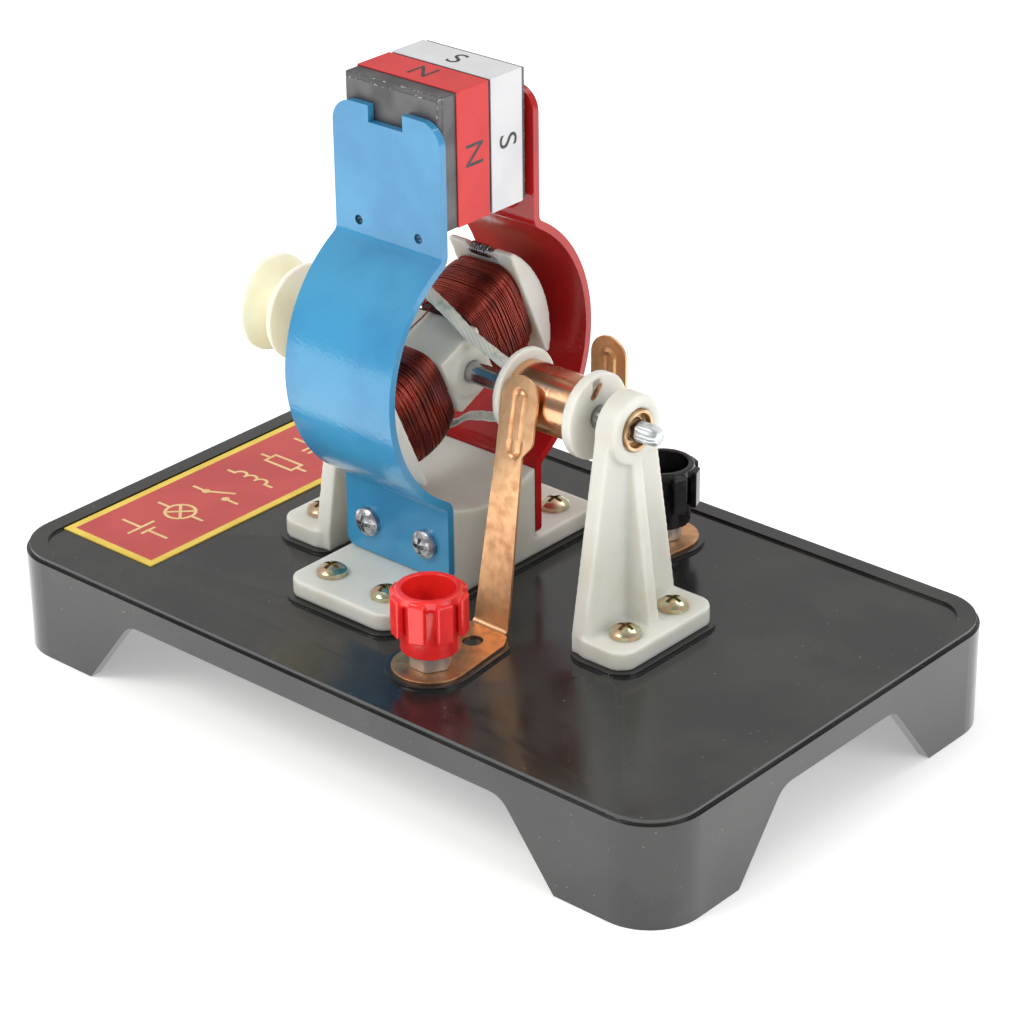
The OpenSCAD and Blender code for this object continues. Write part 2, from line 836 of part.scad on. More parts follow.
// Screw cap: open cup above, barrel below, ribs hanging from the top ring
module cap(sy) {
    rib_top = cap_h - 0.8;
    rib_low = 3.7;
    rib_gap = 0.35;
    rib_w = 2.9;
    bore = insert_top - cap_z + turn_clear;
    translate([terminal_x, sy * terminal_y, cap_z]) difference() {
        union() {
            cylinder(h = cap_h - 0.5, d = cap_barrel_d);
            translate([0, 0, cap_h - 1.8]) cylinder(h = 1.8, d = cap_ring_d);
            for (i = [0:rib_count - 1]) rotate([0, 0, (i + 0.5) * 360 / rib_count]) {
                translate([cap_barrel_d / 2 + rib_gap, -rib_w / 2, rib_low])
                    cube([(cap_rib_d - cap_barrel_d) / 2 - rib_gap, rib_w, rib_top - rib_low]);
                translate([cap_barrel_d / 2 - 1, -rib_w / 2, rib_top - 1.4])
                    cube([2, rib_w, 1.4]);
            }
        }
        translate([0, 0, cap_h - cup_depth]) cylinder(h = cup_depth + cut, d = cup_d);
        translate([0, 0, -cut]) cylinder(h = bore + cut, r = insert_r + turn_clear);
    }
}

module red_cap() {
    color("#d8181c") cap(-1);
}

module black_cap() {
    color("#1a1a1a") cap(1);
}

// ---------- rotor ----------

module shaft() {
    step_x = front_boss_x + bush_proud + 0.5;
    color("#9ea3a8") on_shaft() {
        union() {
            rod_x(shaft_x0 + 0.5, step_x, shaft_r);
            rod_x(step_x - cut, shaft_x1 - 0.5, shaft_r - shaft_step);
            translate([shaft_x1 - 0.5, 0, 0]) rotate([0, 90, 0])
                cylinder(h = 0.5, r1 = shaft_r - shaft_step, r2 = shaft_r - 0.45);
            translate([shaft_x0 + 0.5, 0, 0]) rotate([0, -90, 0])
                cylinder(h = 0.5, r1 = shaft_r, r2 = shaft_r - 0.4);
        }
    }
}

// Shoe outside: round over the rotor, flat inside, ends squared off
module shoe_section() {
    intersection() {
        circle(rotor_r, $fn = 128);
        translate([shoe_seat, -shoe_w / 2]) square([rotor_r, shoe_w]);
    }
}

module armature_frame() {
    x0 = rotor_x - rotor_len / 2;
    color("#eceae0") on_rotor() difference() {
        union() {
            translate([x0, -hub_w / 2, -hub_h / 2]) cube([rotor_len, hub_w, hub_h]);
            rod_x(rotor_front - cut, rotor_front + 0.8, shaft_r + 2.8);
            rod_x(x0 - 0.8, x0 + cut, shaft_r + 2.8);
            translate([rotor_x - neck_w / 2, -shoe_seat - cut, -neck_w / 2])
                cube([neck_w, 2 * (shoe_seat + cut), neck_w]);
            for (m = [0, 1]) mirror([0, m, 0]) translate([x0, 0, 0]) rotate([90, 0, 90])
                linear_extrude(rotor_len) shoe_section();
        }
        rod_x(x0 - 2, rotor_front + 2, shaft_r);
        for (m = [0, 1]) mirror([0, m, 0])
            translate([rotor_x - core_w / 2, shaft_r + 1.5, -core_w / 2])
                cube([core_w, rotor_r, core_w]);
        balance_seat();
    }
}

// Slot and thinned edge in the upper shoe, where the balance wire goes round
module balance_seat() {
    w = wraps * wrap_pitch + wrap_d + 0.5;
    translate([rotor_x - w / 2, 0, 0]) {
        translate([0, shoe_seat - cut, slot_t0]) cube([w, rotor_r, slot_t1 - slot_t0]);
        rotate([90, 0, 90]) linear_extrude(w) difference() {
            translate([shoe_seat - cut, slot_t0]) square([rotor_r, shoe_w]);
            circle(wrap_r, $fn = 128);
        }
    }
}

// Iron core of the bobbin on side m, ground flush with the shoe
module pole_core(m) {
    color("#6f7378") on_rotor() mirror([0, m, 0]) intersection() {
        translate([rotor_x - core_w / 2, shaft_r + 1.5, -core_w / 2])
            cube([core_w, rotor_r, core_w]);
        rod_x(rotor_x - rotor_len, rotor_x + rotor_len, rotor_r);
    }
}

module upper_core() {
    pole_core(0);
}

module lower_core() {
    pole_core(1);
}

// Half length and half height of the winding at distance u from the shaft
function wind_share(u) = (u - hub_w / 2) / (shoe_seat - hub_w / 2);
function wind_swell(u) = wind_bulge * 4 * wind_share(u) * (1 - wind_share(u));
function wind_x(u) = wind_x_in + (wind_x_out - wind_x_in) * wind_share(u) + wind_swell(u);
function wind_t(u) = wind_t_in + (wind_t_out - wind_t_in) * wind_share(u) + wind_swell(u);

// Point of a rounded rectangle with half sizes a and b, at angle q
function soft_side(c) = sign(c) * sqrt(abs(c));
function loop_point(a, b, u, q) = [a * soft_side(cos(q)), u, b * soft_side(sin(q))];

// Plain body of the inner layers, from the hub to the shoe
module winding_core(m) {
    n = 32;
    rows = 8;
    u0 = hub_w / 2;
    span = shoe_seat - u0;
    points = [for (j = [0:rows], i = [0:n - 1]) let (u = u0 + span * j / rows)
        loop_point(wind_x(u), wind_t(u), u, 360 * i / n)];
    sides = [for (j = [0:rows - 1], i = [0:n - 1], h = [0, 1])
        let (a = j * n + i, b = j * n + (i + 1) % n)
            h == 0 ? [a, b + n, a + n] : [a, b, b + n]];
    caps = [[for (i = [n - 1:-1:0]) i], [for (i = [0:n - 1]) rows * n + i]];
    color("#5e1a16") on_rotor() mirror([0, m, 0]) translate([rotor_x, 0, 0]) difference() {
        polyhedron(points, concat(sides, caps));
        translate([-neck_w / 2, u0 - cut, -neck_w / 2]) cube([neck_w, span + 2 * cut, neck_w]);
    }
}

// Point of the wire's middle line at distance u from the shaft and angle q
function wire_point(u, q) = loop_point(wind_x(u) + wire_lift, wind_t(u) + wire_lift, u, q);

// Middle line of the wire: straight ends square to hub and shoe, turns between
function wire_line() =
    let (steps = turns * turn_rings, first = wire_point(wind_u0, 0), end = wire_point(wind_u1, 0))
    concat([[first[0], hub_w / 2, 0], [first[0], hub_w / 2 + wire_d, 0]],
        [for (i = [1:steps - 1])
            wire_point(wind_u0 + (wind_u1 - wind_u0) * i / steps, i * 360 / turn_rings)],
        [[end[0], shoe_seat - wire_d, 0], [end[0], shoe_seat, 0]]);

function unit(v) = v / norm(v);

// Ring of a wire of thickness d round point i of the line p, "along" is the coil's axis
function wire_ring(p, i, d, along) =
    let (last = len(p) - 1, tangent = unit(p[min(i + 1, last)] - p[max(i - 1, 0)]),
        side = unit(along - (along * tangent) * tangent), up = cross(tangent, side))
    [for (k = [0:wire_sides - 1])
        p[i] + d / 2 * (cos(360 * k / wire_sides) * side + sin(360 * k / wire_sides) * up)];

// Least distance between points that lie more than half a turn apart, less the wire
function wire_least_gap(p, d) = min([for (i = [2:len(p) - 3], j = [i + turn_rings / 2:1:len(p) - 3])
    norm(p[i] - p[j])]) - d;

// Wire of thickness d along the line p, its rings square to the line
module tube(p, d, along) {
    n = wire_sides;
    last = len(p) - 1;
    points = [for (i = [0:last]) each wire_ring(p, i, d, i < 2 || i > last - 2 ? [1, 0.3, 0.2] : along)];
    sides = [for (i = [0:last - 1], k = [0:n - 1], h = [0, 1])
        let (a = i * n + k, b = i * n + (k + 1) % n)
            h == 0 ? [a, a + n, b + n] : [a, b + n, b]];
    caps = [for (k = [1:n - 2], h = [0, 1])
        h == 0 ? [0, k, k + 1] : [last * n, last * n + k + 1, last * n + k]];
    polyhedron(points, concat(sides, caps));
}

// One unbroken wire wound on the bobbin of side m
module winding(m) {
    p = wire_line();
    echo(least_gap_between_turns = wire_least_gap(p, wire_d));
    color("#8e2a1e") on_rotor() mirror([0, m, 0]) translate([rotor_x, 0, 0]) tube(p, wire_d, [0, 1, 0]);
}

module upper_winding_core() {
    winding_core(0);
}

module lower_winding_core() {
    winding_core(1);
}

module upper_winding() {
    winding(0);
}

module lower_winding() {
    winding(1);
}

module commutator_sleeve() {
    color("#eceae0") on_rotor() difference() {
        union() {
            rod_x(comm_x0, comm_x1, flange_d / 2);
            rod_x(comm_x2, comm_x3, flange_d / 2);
            rod_x(comm_x0, comm_x3, comm_r - comm_t);
        }
        rod_x(comm_x0 - cut, comm_x3 + cut, shaft_r);
        for (a = [70, 250]) rotate([a, 0, 0])
            translate([comm_x2 - cut, comm_r - comm_t, -1]) cube([end_flange_t + 2 * cut, 2.2, 2]);
    }
}

// Copper segment above the gap line; turned half a turn it is the lower one
module segment(turn) {
    color("#b8683a") on_rotor() rotate([comm_lead + turn, 0, 0]) difference() {
        rod_x(comm_x1, comm_x2, comm_r);
        rod_x(comm_x1 - cut, comm_x2 + cut, comm_r - comm_t);
        translate([comm_x1 - cut, -comm_d, -comm_d])
            cube([comm_len + 2 * cut, 2 * comm_d, comm_d + comm_gap / 2]);
    }
}

module upper_segment() {
    segment(0);
}

module lower_segment() {
    segment(180);
}

// Flat sleeve of a coil's lead: from the coil, over the hub's edge, to the copper
module lead_sleeve(points) {
    color("#d9dccb") on_rotor() for (i = [0:len(points) - 2]) hull()
        for (p = [points[i], points[i + 1]])
            translate(p) cube([sleeve_t, sleeve_w, sleeve_t], center = true);
}

module upper_lead_sleeve() {
    lead_sleeve([[rotor_x - 3.4, 6.2, sleeve_z + 3.7], [rotor_x + 3, 4.1, sleeve_z + 2.5],
        [rotor_front + 0.9, 2.6, sleeve_z],
        [comm_x0 - 1.2, 0.2, comm_r - comm_t]]);
}

module lower_lead_sleeve() {
    lead_sleeve([[rotor_x - 3.4, -7.2, -sleeve_z - 5], [rotor_x + 4, -5.4, -sleeve_z - 3.3],
        [rotor_front + 0.9, -4, -sleeve_z - 0.8],
        [comm_x0 - 1.2, -3.2, -comm_r + comm_t]]);
}

// Enamelled wire that joins the two coils behind the hub
module jumper_wire() {
    reach = hub_w - 0.8;
    color("#7a231b") on_rotor()
        translate([rotor_x - 3.4, -reach / 2, hub_h / 2 + wire_d / 2]) rotate([-90, 0, 0])
        cylinder(h = reach, d = wire_d, $fn = 24);
}

// Middle line of the balance wire, round the thinned end of the upper shoe
function balance_line() =
    let (steps = wraps * turn_rings, x0 = rotor_x - wraps * wrap_pitch / 2,
        mid_t = (slot_t1 + wrap_tip) / 2, half_t = (wrap_tip - slot_t1) / 2 + wrap_d,
        half_u = 0.62 + wrap_d / 2, mid_u = shoe_seat + 0.4)
    concat([[x0, mid_u, slot_t0], [x0, mid_u, slot_t0 + wrap_d]],
        [for (i = [1:steps - 1])
            let (q = loop_point(half_t, half_u, 0, 180 + i * 360 / turn_rings))
                [x0 + i * wrap_pitch / turn_rings,
                    mid_u + q[2] * cos(wrap_tilt) - q[0] * sin(wrap_tilt),
                    mid_t + q[0] * cos(wrap_tilt) + q[2] * sin(wrap_tilt)]],
        [[x0 + wraps * wrap_pitch, mid_u, slot_t0 + wrap_d],
            [x0 + wraps * wrap_pitch, mid_u, slot_t0]]);

// Wire threaded through the slot in the upper shoe, to balance the rotor
module balance_wire() {
    p = balance_line();
    echo(least_gap_in_balance_wire = wire_least_gap(p, wrap_d));
    color("#55585c") on_rotor() tube(p, wrap_d, [0, shoe_seat + 0.4, (slot_t1 + wrap_tip) / 2]);
}

// ---------- pulley ----------

module pulley() {
    r = pulley_d / 2;
    w = pulley_w;
    rim = 1.1;
    floor_half = 0.8;
    color("#efe9c8") on_shaft() translate([pulley_x0, 0, 0]) rotate([0, 90, 0])
        rotate_extrude($fn = 96) polygon([[shaft_r, 0], [r, 0], [r, rim],
            [r - groove_depth, w / 2 - floor_half], [r - groove_depth, w / 2 + floor_half],
            [r, w - rim], [r, w], [shaft_r, w]]);
}

base_shell();
deck_label();
magnet_stand();
front_pillar();
rear_pillar();
front_bush();
rear_bush();
stand_screws();
front_pillar_screws();
rear_pillar_screws();
deck_nuts();
blue_pole_screws();
red_pole_screws();
blue_pole();
red_pole();
north_magnet();
south_magnet();
north_paper();
south_paper();
front_brush_plate();
rear_brush_plate();
front_brush_arm();
rear_brush_arm();
red_stud();
black_stud();
red_hex_nut();
black_hex_nut();
red_cap_insert();
black_cap_insert();
red_cap();
black_cap();
shaft();
armature_frame();
upper_core();
lower_core();
upper_winding_core();
lower_winding_core();
upper_winding();
lower_winding();
commutator_sleeve();
upper_segment();
lower_segment();
upper_lead_sleeve();
lower_lead_sleeve();
jumper_wire();
balance_wire();
pulley();
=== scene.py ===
# %% [markdown]
# # A classroom motor, dressed from its frame
# The solids of the motor already exist as a imported model. This lesson loads them, gives each
# one a real surface, and rebuilds the pieces that need finer shapes than the solids
# have: the wound coils, the sprung brushes, the woven sleeves and the marks on the magnets.

import json
import random
from math import atan2, copysign, cos, hypot, pi, radians, sin, sqrt, tan

import bmesh
import bpy
from mathutils import Matrix, Vector
from mathutils.geometry import interpolate_bezier


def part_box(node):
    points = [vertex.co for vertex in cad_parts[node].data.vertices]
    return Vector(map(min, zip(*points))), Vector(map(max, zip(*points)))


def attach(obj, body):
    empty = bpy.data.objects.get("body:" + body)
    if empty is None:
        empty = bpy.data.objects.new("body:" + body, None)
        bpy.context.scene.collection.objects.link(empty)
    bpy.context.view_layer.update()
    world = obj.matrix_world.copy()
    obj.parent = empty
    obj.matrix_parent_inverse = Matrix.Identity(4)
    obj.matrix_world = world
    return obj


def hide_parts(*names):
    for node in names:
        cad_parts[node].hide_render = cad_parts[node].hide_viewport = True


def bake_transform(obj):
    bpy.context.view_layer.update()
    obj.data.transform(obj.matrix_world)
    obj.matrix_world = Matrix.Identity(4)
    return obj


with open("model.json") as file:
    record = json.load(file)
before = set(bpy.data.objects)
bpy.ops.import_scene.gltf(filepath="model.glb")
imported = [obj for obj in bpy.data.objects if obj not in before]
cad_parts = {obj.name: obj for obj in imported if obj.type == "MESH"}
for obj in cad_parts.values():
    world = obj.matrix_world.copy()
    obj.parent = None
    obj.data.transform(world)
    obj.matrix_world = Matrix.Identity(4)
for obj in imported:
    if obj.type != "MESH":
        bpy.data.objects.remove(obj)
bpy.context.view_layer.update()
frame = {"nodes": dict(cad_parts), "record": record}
nodes = frame["nodes"]
body_of_node = {n: b for b, names in frame["record"]["behaviour"]["bodies"].items() for n in names}
slot_of_node = {s["node"]: s["material_slot"] for s in frame["record"]["subparts"]}
mm = 0.001
show = bpy.context.scene.collection.objects.link

# %% [markdown]
# ## Camera and light
# The camera stands where the photographer stood. Its place was solved from the corners of the
# base, so it is written as a position and three angles. The light is a pale room: an even
# world, one large soft lamp from the upper left and two weaker ones. The camera sees a white
# backdrop. Glossy surfaces see the room as it is: bright behind the motor and dim on the
# camera's side, which keeps black plastic black and paint deep. Small helpers make and link
# the shader nodes, here and in every finish below.

# %% Camera at the photograph's angle
yaw, pitch, roll = 0.725, 0.469, -0.012
ahead = Vector((-sin(yaw) * cos(pitch), cos(yaw) * cos(pitch), -sin(pitch)))
level_right = Vector((cos(yaw), sin(yaw), 0))
level_up = level_right.cross(ahead)
right = cos(roll) * level_right + sin(roll) * level_up
up = -sin(roll) * level_right + cos(roll) * level_up
camera_data = bpy.data.cameras.new("camera")
sensor_mm, focal_pixels, photo_pixels = 36, 3253.46, 1024
camera_data.lens = sensor_mm * focal_pixels / photo_pixels
camera_data.sensor_width = sensor_mm
camera = bpy.data.objects.new("camera", camera_data)
camera_place = (0.356222, -0.396061, 0.304166)
camera.matrix_world = Matrix.Translation(camera_place) @ Matrix((right, up, -ahead)).transposed().to_4x4()
show(camera)
bpy.context.scene.camera = camera
bpy.context.scene.view_settings.view_transform = "Standard"
print("camera at", camera_place, "with a lens of", camera_data.lens, "mm")

# %% Helpers for shader nodes
def tree_of(owner):
    """The node tree of a material or a world; a group is its own tree."""
    return getattr(owner, "node_tree", owner)

def add(owner, kind, inputs=(), **settings):
    """A shader node with its settings; inputs gives the values of its own sockets."""
    n = tree_of(owner).nodes.new("ShaderNode" + kind)
    for key, value in settings.items():
        setattr(n, key, value)
    for socket, value in dict(inputs).items():
        n.inputs[socket].default_value = value
    return n

def join(owner, *pairs):
    """Links each pair's output to its input."""
    for source, target in pairs:
        tree_of(owner).links.new(source, target)

# %% World
world = bpy.data.worlds.new("pale_room")
bpy.context.scene.world = world
world.use_nodes = True
world.node_tree.nodes.clear()

def backdrop(colour, strength):
    """One even background of the world."""
    return add(world, "Background", {"Color": (*colour, 1), "Strength": strength})

room = backdrop((1.0, 0.99, 0.98), 0.68)
seen = backdrop((1, 1, 1), 1.0)
mirrored = backdrop((1.0, 0.985, 0.97), 1.0)
where = add(world, "TexCoord")
behind = add(world, "VectorMath", {1: (-sin(yaw), cos(yaw), 0.25)}, operation="DOT_PRODUCT")
glow_behind = add(world, "MapRange", {"From Min": -0.5, "From Max": 0.7, "To Min": 0.20, "To Max": 0.62},
                  interpolation_type="SMOOTHSTEP")
paths = add(world, "LightPath")
glossy_or_not = add(world, "MixShader")
camera_or_not = add(world, "MixShader")
sky = add(world, "OutputWorld")
join(world, (where.outputs["Generated"], behind.inputs[0]),
     (behind.outputs["Value"], glow_behind.inputs["Value"]),
     (glow_behind.outputs["Result"], mirrored.inputs["Strength"]),
     (paths.outputs["Is Glossy Ray"], glossy_or_not.inputs[0]),
     (room.outputs[0], glossy_or_not.inputs[1]),
     (mirrored.outputs[0], glossy_or_not.inputs[2]),
     (paths.outputs["Is Camera Ray"], camera_or_not.inputs[0]),
     (glossy_or_not.outputs[0], camera_or_not.inputs[1]),
     (seen.outputs[0], camera_or_not.inputs[2]),
     (camera_or_not.outputs[0], sky.inputs["Surface"]))
print("world made of", len(world.node_tree.nodes), "nodes")

# %% Lamps
def soft_lamp(name, place, aim, size, watts, tint):
    """A square lamp at place that shines at aim."""
    lamp = bpy.data.lights.new(name, "AREA")
    lamp.size = size
    lamp.energy = watts
    lamp.color = tint
    holder = bpy.data.objects.new(name, lamp)
    turn = (Vector(aim) - Vector(place)).to_track_quat("-Z", "Y")
    holder.matrix_world = Matrix.Translation(place) @ turn.to_matrix().to_4x4()
    show(holder)
    print(name, "shines with", watts, "W")

soft_lamp("key_lamp", (-0.35, -0.75, 0.95), (0, 0, 0.05), 0.6, 6.0, (1, 0.99, 0.97))
soft_lamp("fill_lamp", (0.95, 0.05, 0.5), (0, 0, 0.06), 0.5, 2.3, (0.98, 0.99, 1))
soft_lamp("back_lamp", (0.15, 0.75, 1.15), (0, 0, 0.06), 0.6, 2.5, (1, 1, 1))

# %% [markdown]
# ## Surface effects shared by many finishes
# Real surfaces are never one flat colour. Three small node groups are made once and placed
# where a material needs them, with its own values: a mottle that drifts between two colours,
# fine lines left by brushing, turning or grinding, and the specks of dust that show on black.
# Each one only puts out a colour, a mask or a height; the shader stays in the material, so
# that the finish can be read there.

# %% A helper to start a node group
def start_group(name, inputs, outputs):
    """A shader node group with named sockets; returns the tree and its two ends."""
    tree = bpy.data.node_groups.new(name, "ShaderNodeTree")
    for label, kind, value in inputs:
        socket = tree.interface.new_socket(label, in_out="INPUT", socket_type=kind)
        socket.default_value = value
    for label, kind in outputs:
        tree.interface.new_socket(label, in_out="OUTPUT", socket_type=kind)
    return tree, tree.nodes.new("NodeGroupInput"), tree.nodes.new("NodeGroupOutput")

FLOAT, COLOUR, VECTOR = "NodeSocketFloat", "NodeSocketColor", "NodeSocketVector"

# %% Mottle: two colours that drift into each other
mottle, m_in, m_out = start_group(
    "mottle",
    [("Colour A", COLOUR, (0.5, 0.5, 0.5, 1)), ("Colour B", COLOUR, (0.4, 0.4, 0.4, 1)),
     ("Scale", FLOAT, 300.0), ("From", FLOAT, 0.4), ("To", FLOAT, 0.65)],
    [("Colour", COLOUR), ("Mask", FLOAT)])
m_place = add(mottle, "TexCoord")
m_noise = add(mottle, "TexNoise", {"Detail": 5})
m_range = add(mottle, "MapRange", interpolation_type="SMOOTHSTEP")
m_mix = add(mottle, "Mix", data_type="RGBA")
join(mottle, (m_place.outputs["Object"], m_noise.inputs["Vector"]),
     (m_in.outputs["Scale"], m_noise.inputs["Scale"]),
     (m_noise.outputs["Fac"], m_range.inputs["Value"]),
     (m_in.outputs["From"], m_range.inputs["From Min"]),
     (m_in.outputs["To"], m_range.inputs["From Max"]),
     (m_range.outputs["Result"], m_mix.inputs[0]),
     (m_in.outputs["Colour A"], m_mix.inputs[6]),
     (m_in.outputs["Colour B"], m_mix.inputs[7]),
     (m_mix.outputs[2], m_out.inputs["Colour"]),
     (m_range.outputs["Result"], m_out.inputs["Mask"]))

# %% Fine lines: noise drawn out along one direction
fine_lines, l_in, l_out = start_group(
    "fine_lines", [("Stretch", VECTOR, (1, 1, 1)), ("Scale", FLOAT, 1500.0)],
    [("Height", FLOAT)])
l_place = add(fine_lines, "TexCoord")
l_multiply = add(fine_lines, "VectorMath", operation="MULTIPLY")
l_noise = add(fine_lines, "TexNoise", {"Detail": 3})
join(fine_lines, (l_place.outputs["Object"], l_multiply.inputs[0]),
     (l_in.outputs["Stretch"], l_multiply.inputs[1]),
     (l_multiply.outputs[0], l_noise.inputs["Vector"]),
     (l_in.outputs["Scale"], l_noise.inputs["Scale"]),
     (l_noise.outputs["Fac"], l_out.inputs["Height"]))

# %% Dust: small pale specks, few and sharp
dust, d_in, d_out = start_group(
    "dust", [("Scale", FLOAT, 900.0), ("Rarity", FLOAT, 0.72)], [("Mask", FLOAT)])
d_place = add(dust, "TexCoord")
d_noise = add(dust, "TexNoise", {"Detail": 1})
d_edge = add(dust, "Math", operation="SUBTRACT")
d_sharp = add(dust, "Math", {1: 18}, operation="MULTIPLY", use_clamp=True)
join(dust, (d_place.outputs["Object"], d_noise.inputs["Vector"]),
     (d_in.outputs["Scale"], d_noise.inputs["Scale"]),
     (d_noise.outputs["Fac"], d_edge.inputs[0]),
     (d_in.outputs["Rarity"], d_edge.inputs[1]),
     (d_edge.outputs[0], d_sharp.inputs[0]),
     (d_sharp.outputs[0], d_out.inputs["Mask"]))
print("node groups:", [g.name for g in bpy.data.node_groups])

# %% [markdown]
# ## Finishes
# One function starts a material and sets the values that are the same all over on the shader's
# own sockets. Three more add what changes over the surface: its colour, its roughness and its
# relief. The last one puts them together, so that most finishes are one call that says what
# the real surface is.

# %% Helpers for finishes
finishes = {}

def finish(name, colour, roughness, metallic=0.0, **sockets):
    """A material with a Principled shader; extra sockets are given by name."""
    m = bpy.data.materials.new(name)
    m.use_nodes = True
    shader = m.node_tree.nodes["Principled BSDF"]
    shader.inputs["Base Color"].default_value = (*colour, 1)
    shader.inputs["Roughness"].default_value = roughness
    shader.inputs["Metallic"].default_value = metallic
    for label, value in sockets.items():
        shader.inputs[label.replace("_", " ")].default_value = value
    m.diffuse_color = (*colour, 1)
    finishes[name] = m
    return m

def shader_of(m):
    """The material's own Principled shader."""
    return m.node_tree.nodes["Principled BSDF"]

def place_group(m, tree, **values):
    """One of the shared groups, placed in a material with its own values."""
    n = add(m, "Group", node_tree=tree)
    for label, value in values.items():
        n.inputs[label.replace("_", " ")].default_value = value
    return n

def vary_colour(m, a, b, scale, low=0.4, high=0.65):
    """Base colour drifts from a to b; returns the group, whose Mask can be used again."""
    n = place_group(m, mottle, Colour_A=(*a, 1), Colour_B=(*b, 1), Scale=scale, From=low, To=high)
    join(m, (n.outputs["Colour"], shader_of(m).inputs["Base Color"]))
    return n

def vary_roughness(m, mask, low, high):
    """Roughness runs from low to high as mask runs from 0 to 1."""
    r = add(m, "MapRange", {"To Min": low, "To Max": high})
    join(m, (mask, r.inputs["Value"]), (r.outputs["Result"], shader_of(m).inputs["Roughness"]))

def relief(m, height, distance, strength=1.0):
    """Bump from a height; distance is the depth of the relief in metres."""
    b = add(m, "Bump", {"Distance": distance, "Strength": strength})
    join(m, (height, b.inputs["Height"]), (b.outputs["Normal"], shader_of(m).inputs["Normal"]))
    return b

def grain(m, scale, detail=2.0):
    """A plain noise on the piece, for relief."""
    place = add(m, "TexCoord")
    noise = add(m, "TexNoise", {"Scale": scale, "Detail": detail})
    join(m, (place.outputs["Object"], noise.inputs["Vector"]))
    return noise.outputs["Fac"]

def mixed(m, mask, first, second=None, constant=None):
    """Base colour goes from the output first to second, or to a constant, by mask."""
    mix = add(m, "Mix", data_type="RGBA")
    join(m, (mask, mix.inputs[0]), (first, mix.inputs[6]),
         (mix.outputs[2], shader_of(m).inputs["Base Color"]))
    if second:
        join(m, (second, mix.inputs[7]))
    else:
        mix.inputs[7].default_value = (*constant, 1)

def surface(name, base, roughness, metallic, a, b, scale, spread=(0.4, 0.65), gloss=None,
            bump=None, lines=None, **sockets):
    """A finish whose colour drifts from a to b, and its roughness over gloss; bump is a grain's
    scale, detail, depth and strength, and lines a stretch, scale, depth and strength."""
    m = finish(name, base, roughness, metallic, **sockets)
    tone = vary_colour(m, a, b, scale, *spread)
    if gloss:
        vary_roughness(m, tone.outputs["Mask"], *gloss)
    if bump:
        relief(m, grain(m, *bump[:2]), *bump[2:])
    if lines:
        marks = place_group(m, fine_lines, Stretch=lines[0], Scale=lines[1])
        relief(m, marks.outputs["Height"], *lines[2:])
    return m

# %% [markdown]
# ### Mouldings
# The base is glossy black polystyrene. It has a faint orange peel, cloudy handling marks that
# change its gloss more than its colour, and specks of dust. The stand, pillars and rotor are
# natural nylon: off-white, a little yellow, and light goes a short way into it, so its edges
# never look hard. The pulley is the same kind of plastic in cream, and lets more light in.

# %% Black base, nylon, pulley and caps
black_base = finish("black_base", (0.018, 0.018, 0.018), 0.2, IOR=1.6)
cloud = vary_colour(black_base, (0.016, 0.016, 0.016), (0.027, 0.027, 0.026), 60)
vary_roughness(black_base, cloud.outputs["Mask"], 0.16, 0.26)
specks = place_group(black_base, dust, Scale=1500, Rarity=0.755)
mixed(black_base, specks.outputs["Mask"], cloud.outputs["Colour"], constant=(0.20, 0.20, 0.19))
relief(black_base, grain(black_base, 420), 0.00003, 0.35)

nylon = surface(
    "nylon", (0.70, 0.695, 0.635), 0.36, 0.0, (0.72, 0.72, 0.665), (0.66, 0.655, 0.575), 90,
    (0.35, 0.7), gloss=(0.3, 0.46), bump=(700, 4, 0.00005, 0.3), Subsurface_Weight=0.6,
    Subsurface_Scale=0.003, Subsurface_Radius=(1.0, 0.85, 0.6))

cream_pulley = surface(
    "cream_pulley", (0.93, 0.91, 0.74), 0.3, 0.0, (0.95, 0.93, 0.77), (0.90, 0.87, 0.67), 120,
    bump=(900, 3, 0.00003, 0.3), Subsurface_Weight=0.6, Subsurface_Scale=0.003,
    Subsurface_Radius=(1.0, 0.9, 0.6))

red_cap_plastic = surface(
    "red_cap_plastic", (0.80, 0.025, 0.022), 0.16, 0.0, (0.84, 0.030, 0.025), (0.72, 0.018, 0.018), 260,
    gloss=(0.12, 0.24), bump=(900, 2, 0.00003, 0.3), Subsurface_Weight=0.15, Subsurface_Scale=0.001,
    Coat_Weight=0.3, Coat_Roughness=0.05)

black_cap_plastic = surface(
    "black_cap_plastic", (0.010, 0.010, 0.011), 0.17, 0.0, (0.009, 0.009, 0.009), (0.02, 0.02, 0.021),
    260, gloss=(0.12, 0.26), bump=(900, 2, 0.00003, 0.3), IOR=1.4)

# %% [markdown]
# ### Paints
# The pole pieces are bent from sheet and sprayed. The blue is a light gloss paint with a fine
# orange peel that breaks up the edge of each reflection; the red is the same with less gloss.
# A clear coat carries the gloss and the peel, and the colour below varies slowly.

# %% Blue and red gloss paint
def gloss_paint(name, a, b, coat=1.0):
    """Sprayed enamel whose colour drifts from a to b; coat is how much gloss lies over it."""
    m = finish(name, a, 0.34, Coat_Weight=coat, Coat_Roughness=0.06, Coat_IOR=1.5, Specular_IOR_Level=0.15)
    tone = vary_colour(m, a, b, 55, 0.35, 0.7)
    vary_roughness(m, tone.outputs["Mask"], 0.28, 0.42)
    peel = relief(m, grain(m, 1500, 2.5), 0.00009, 0.6)
    join(m, (peel.outputs["Normal"], shader_of(m).inputs["Coat Normal"]))
    return m

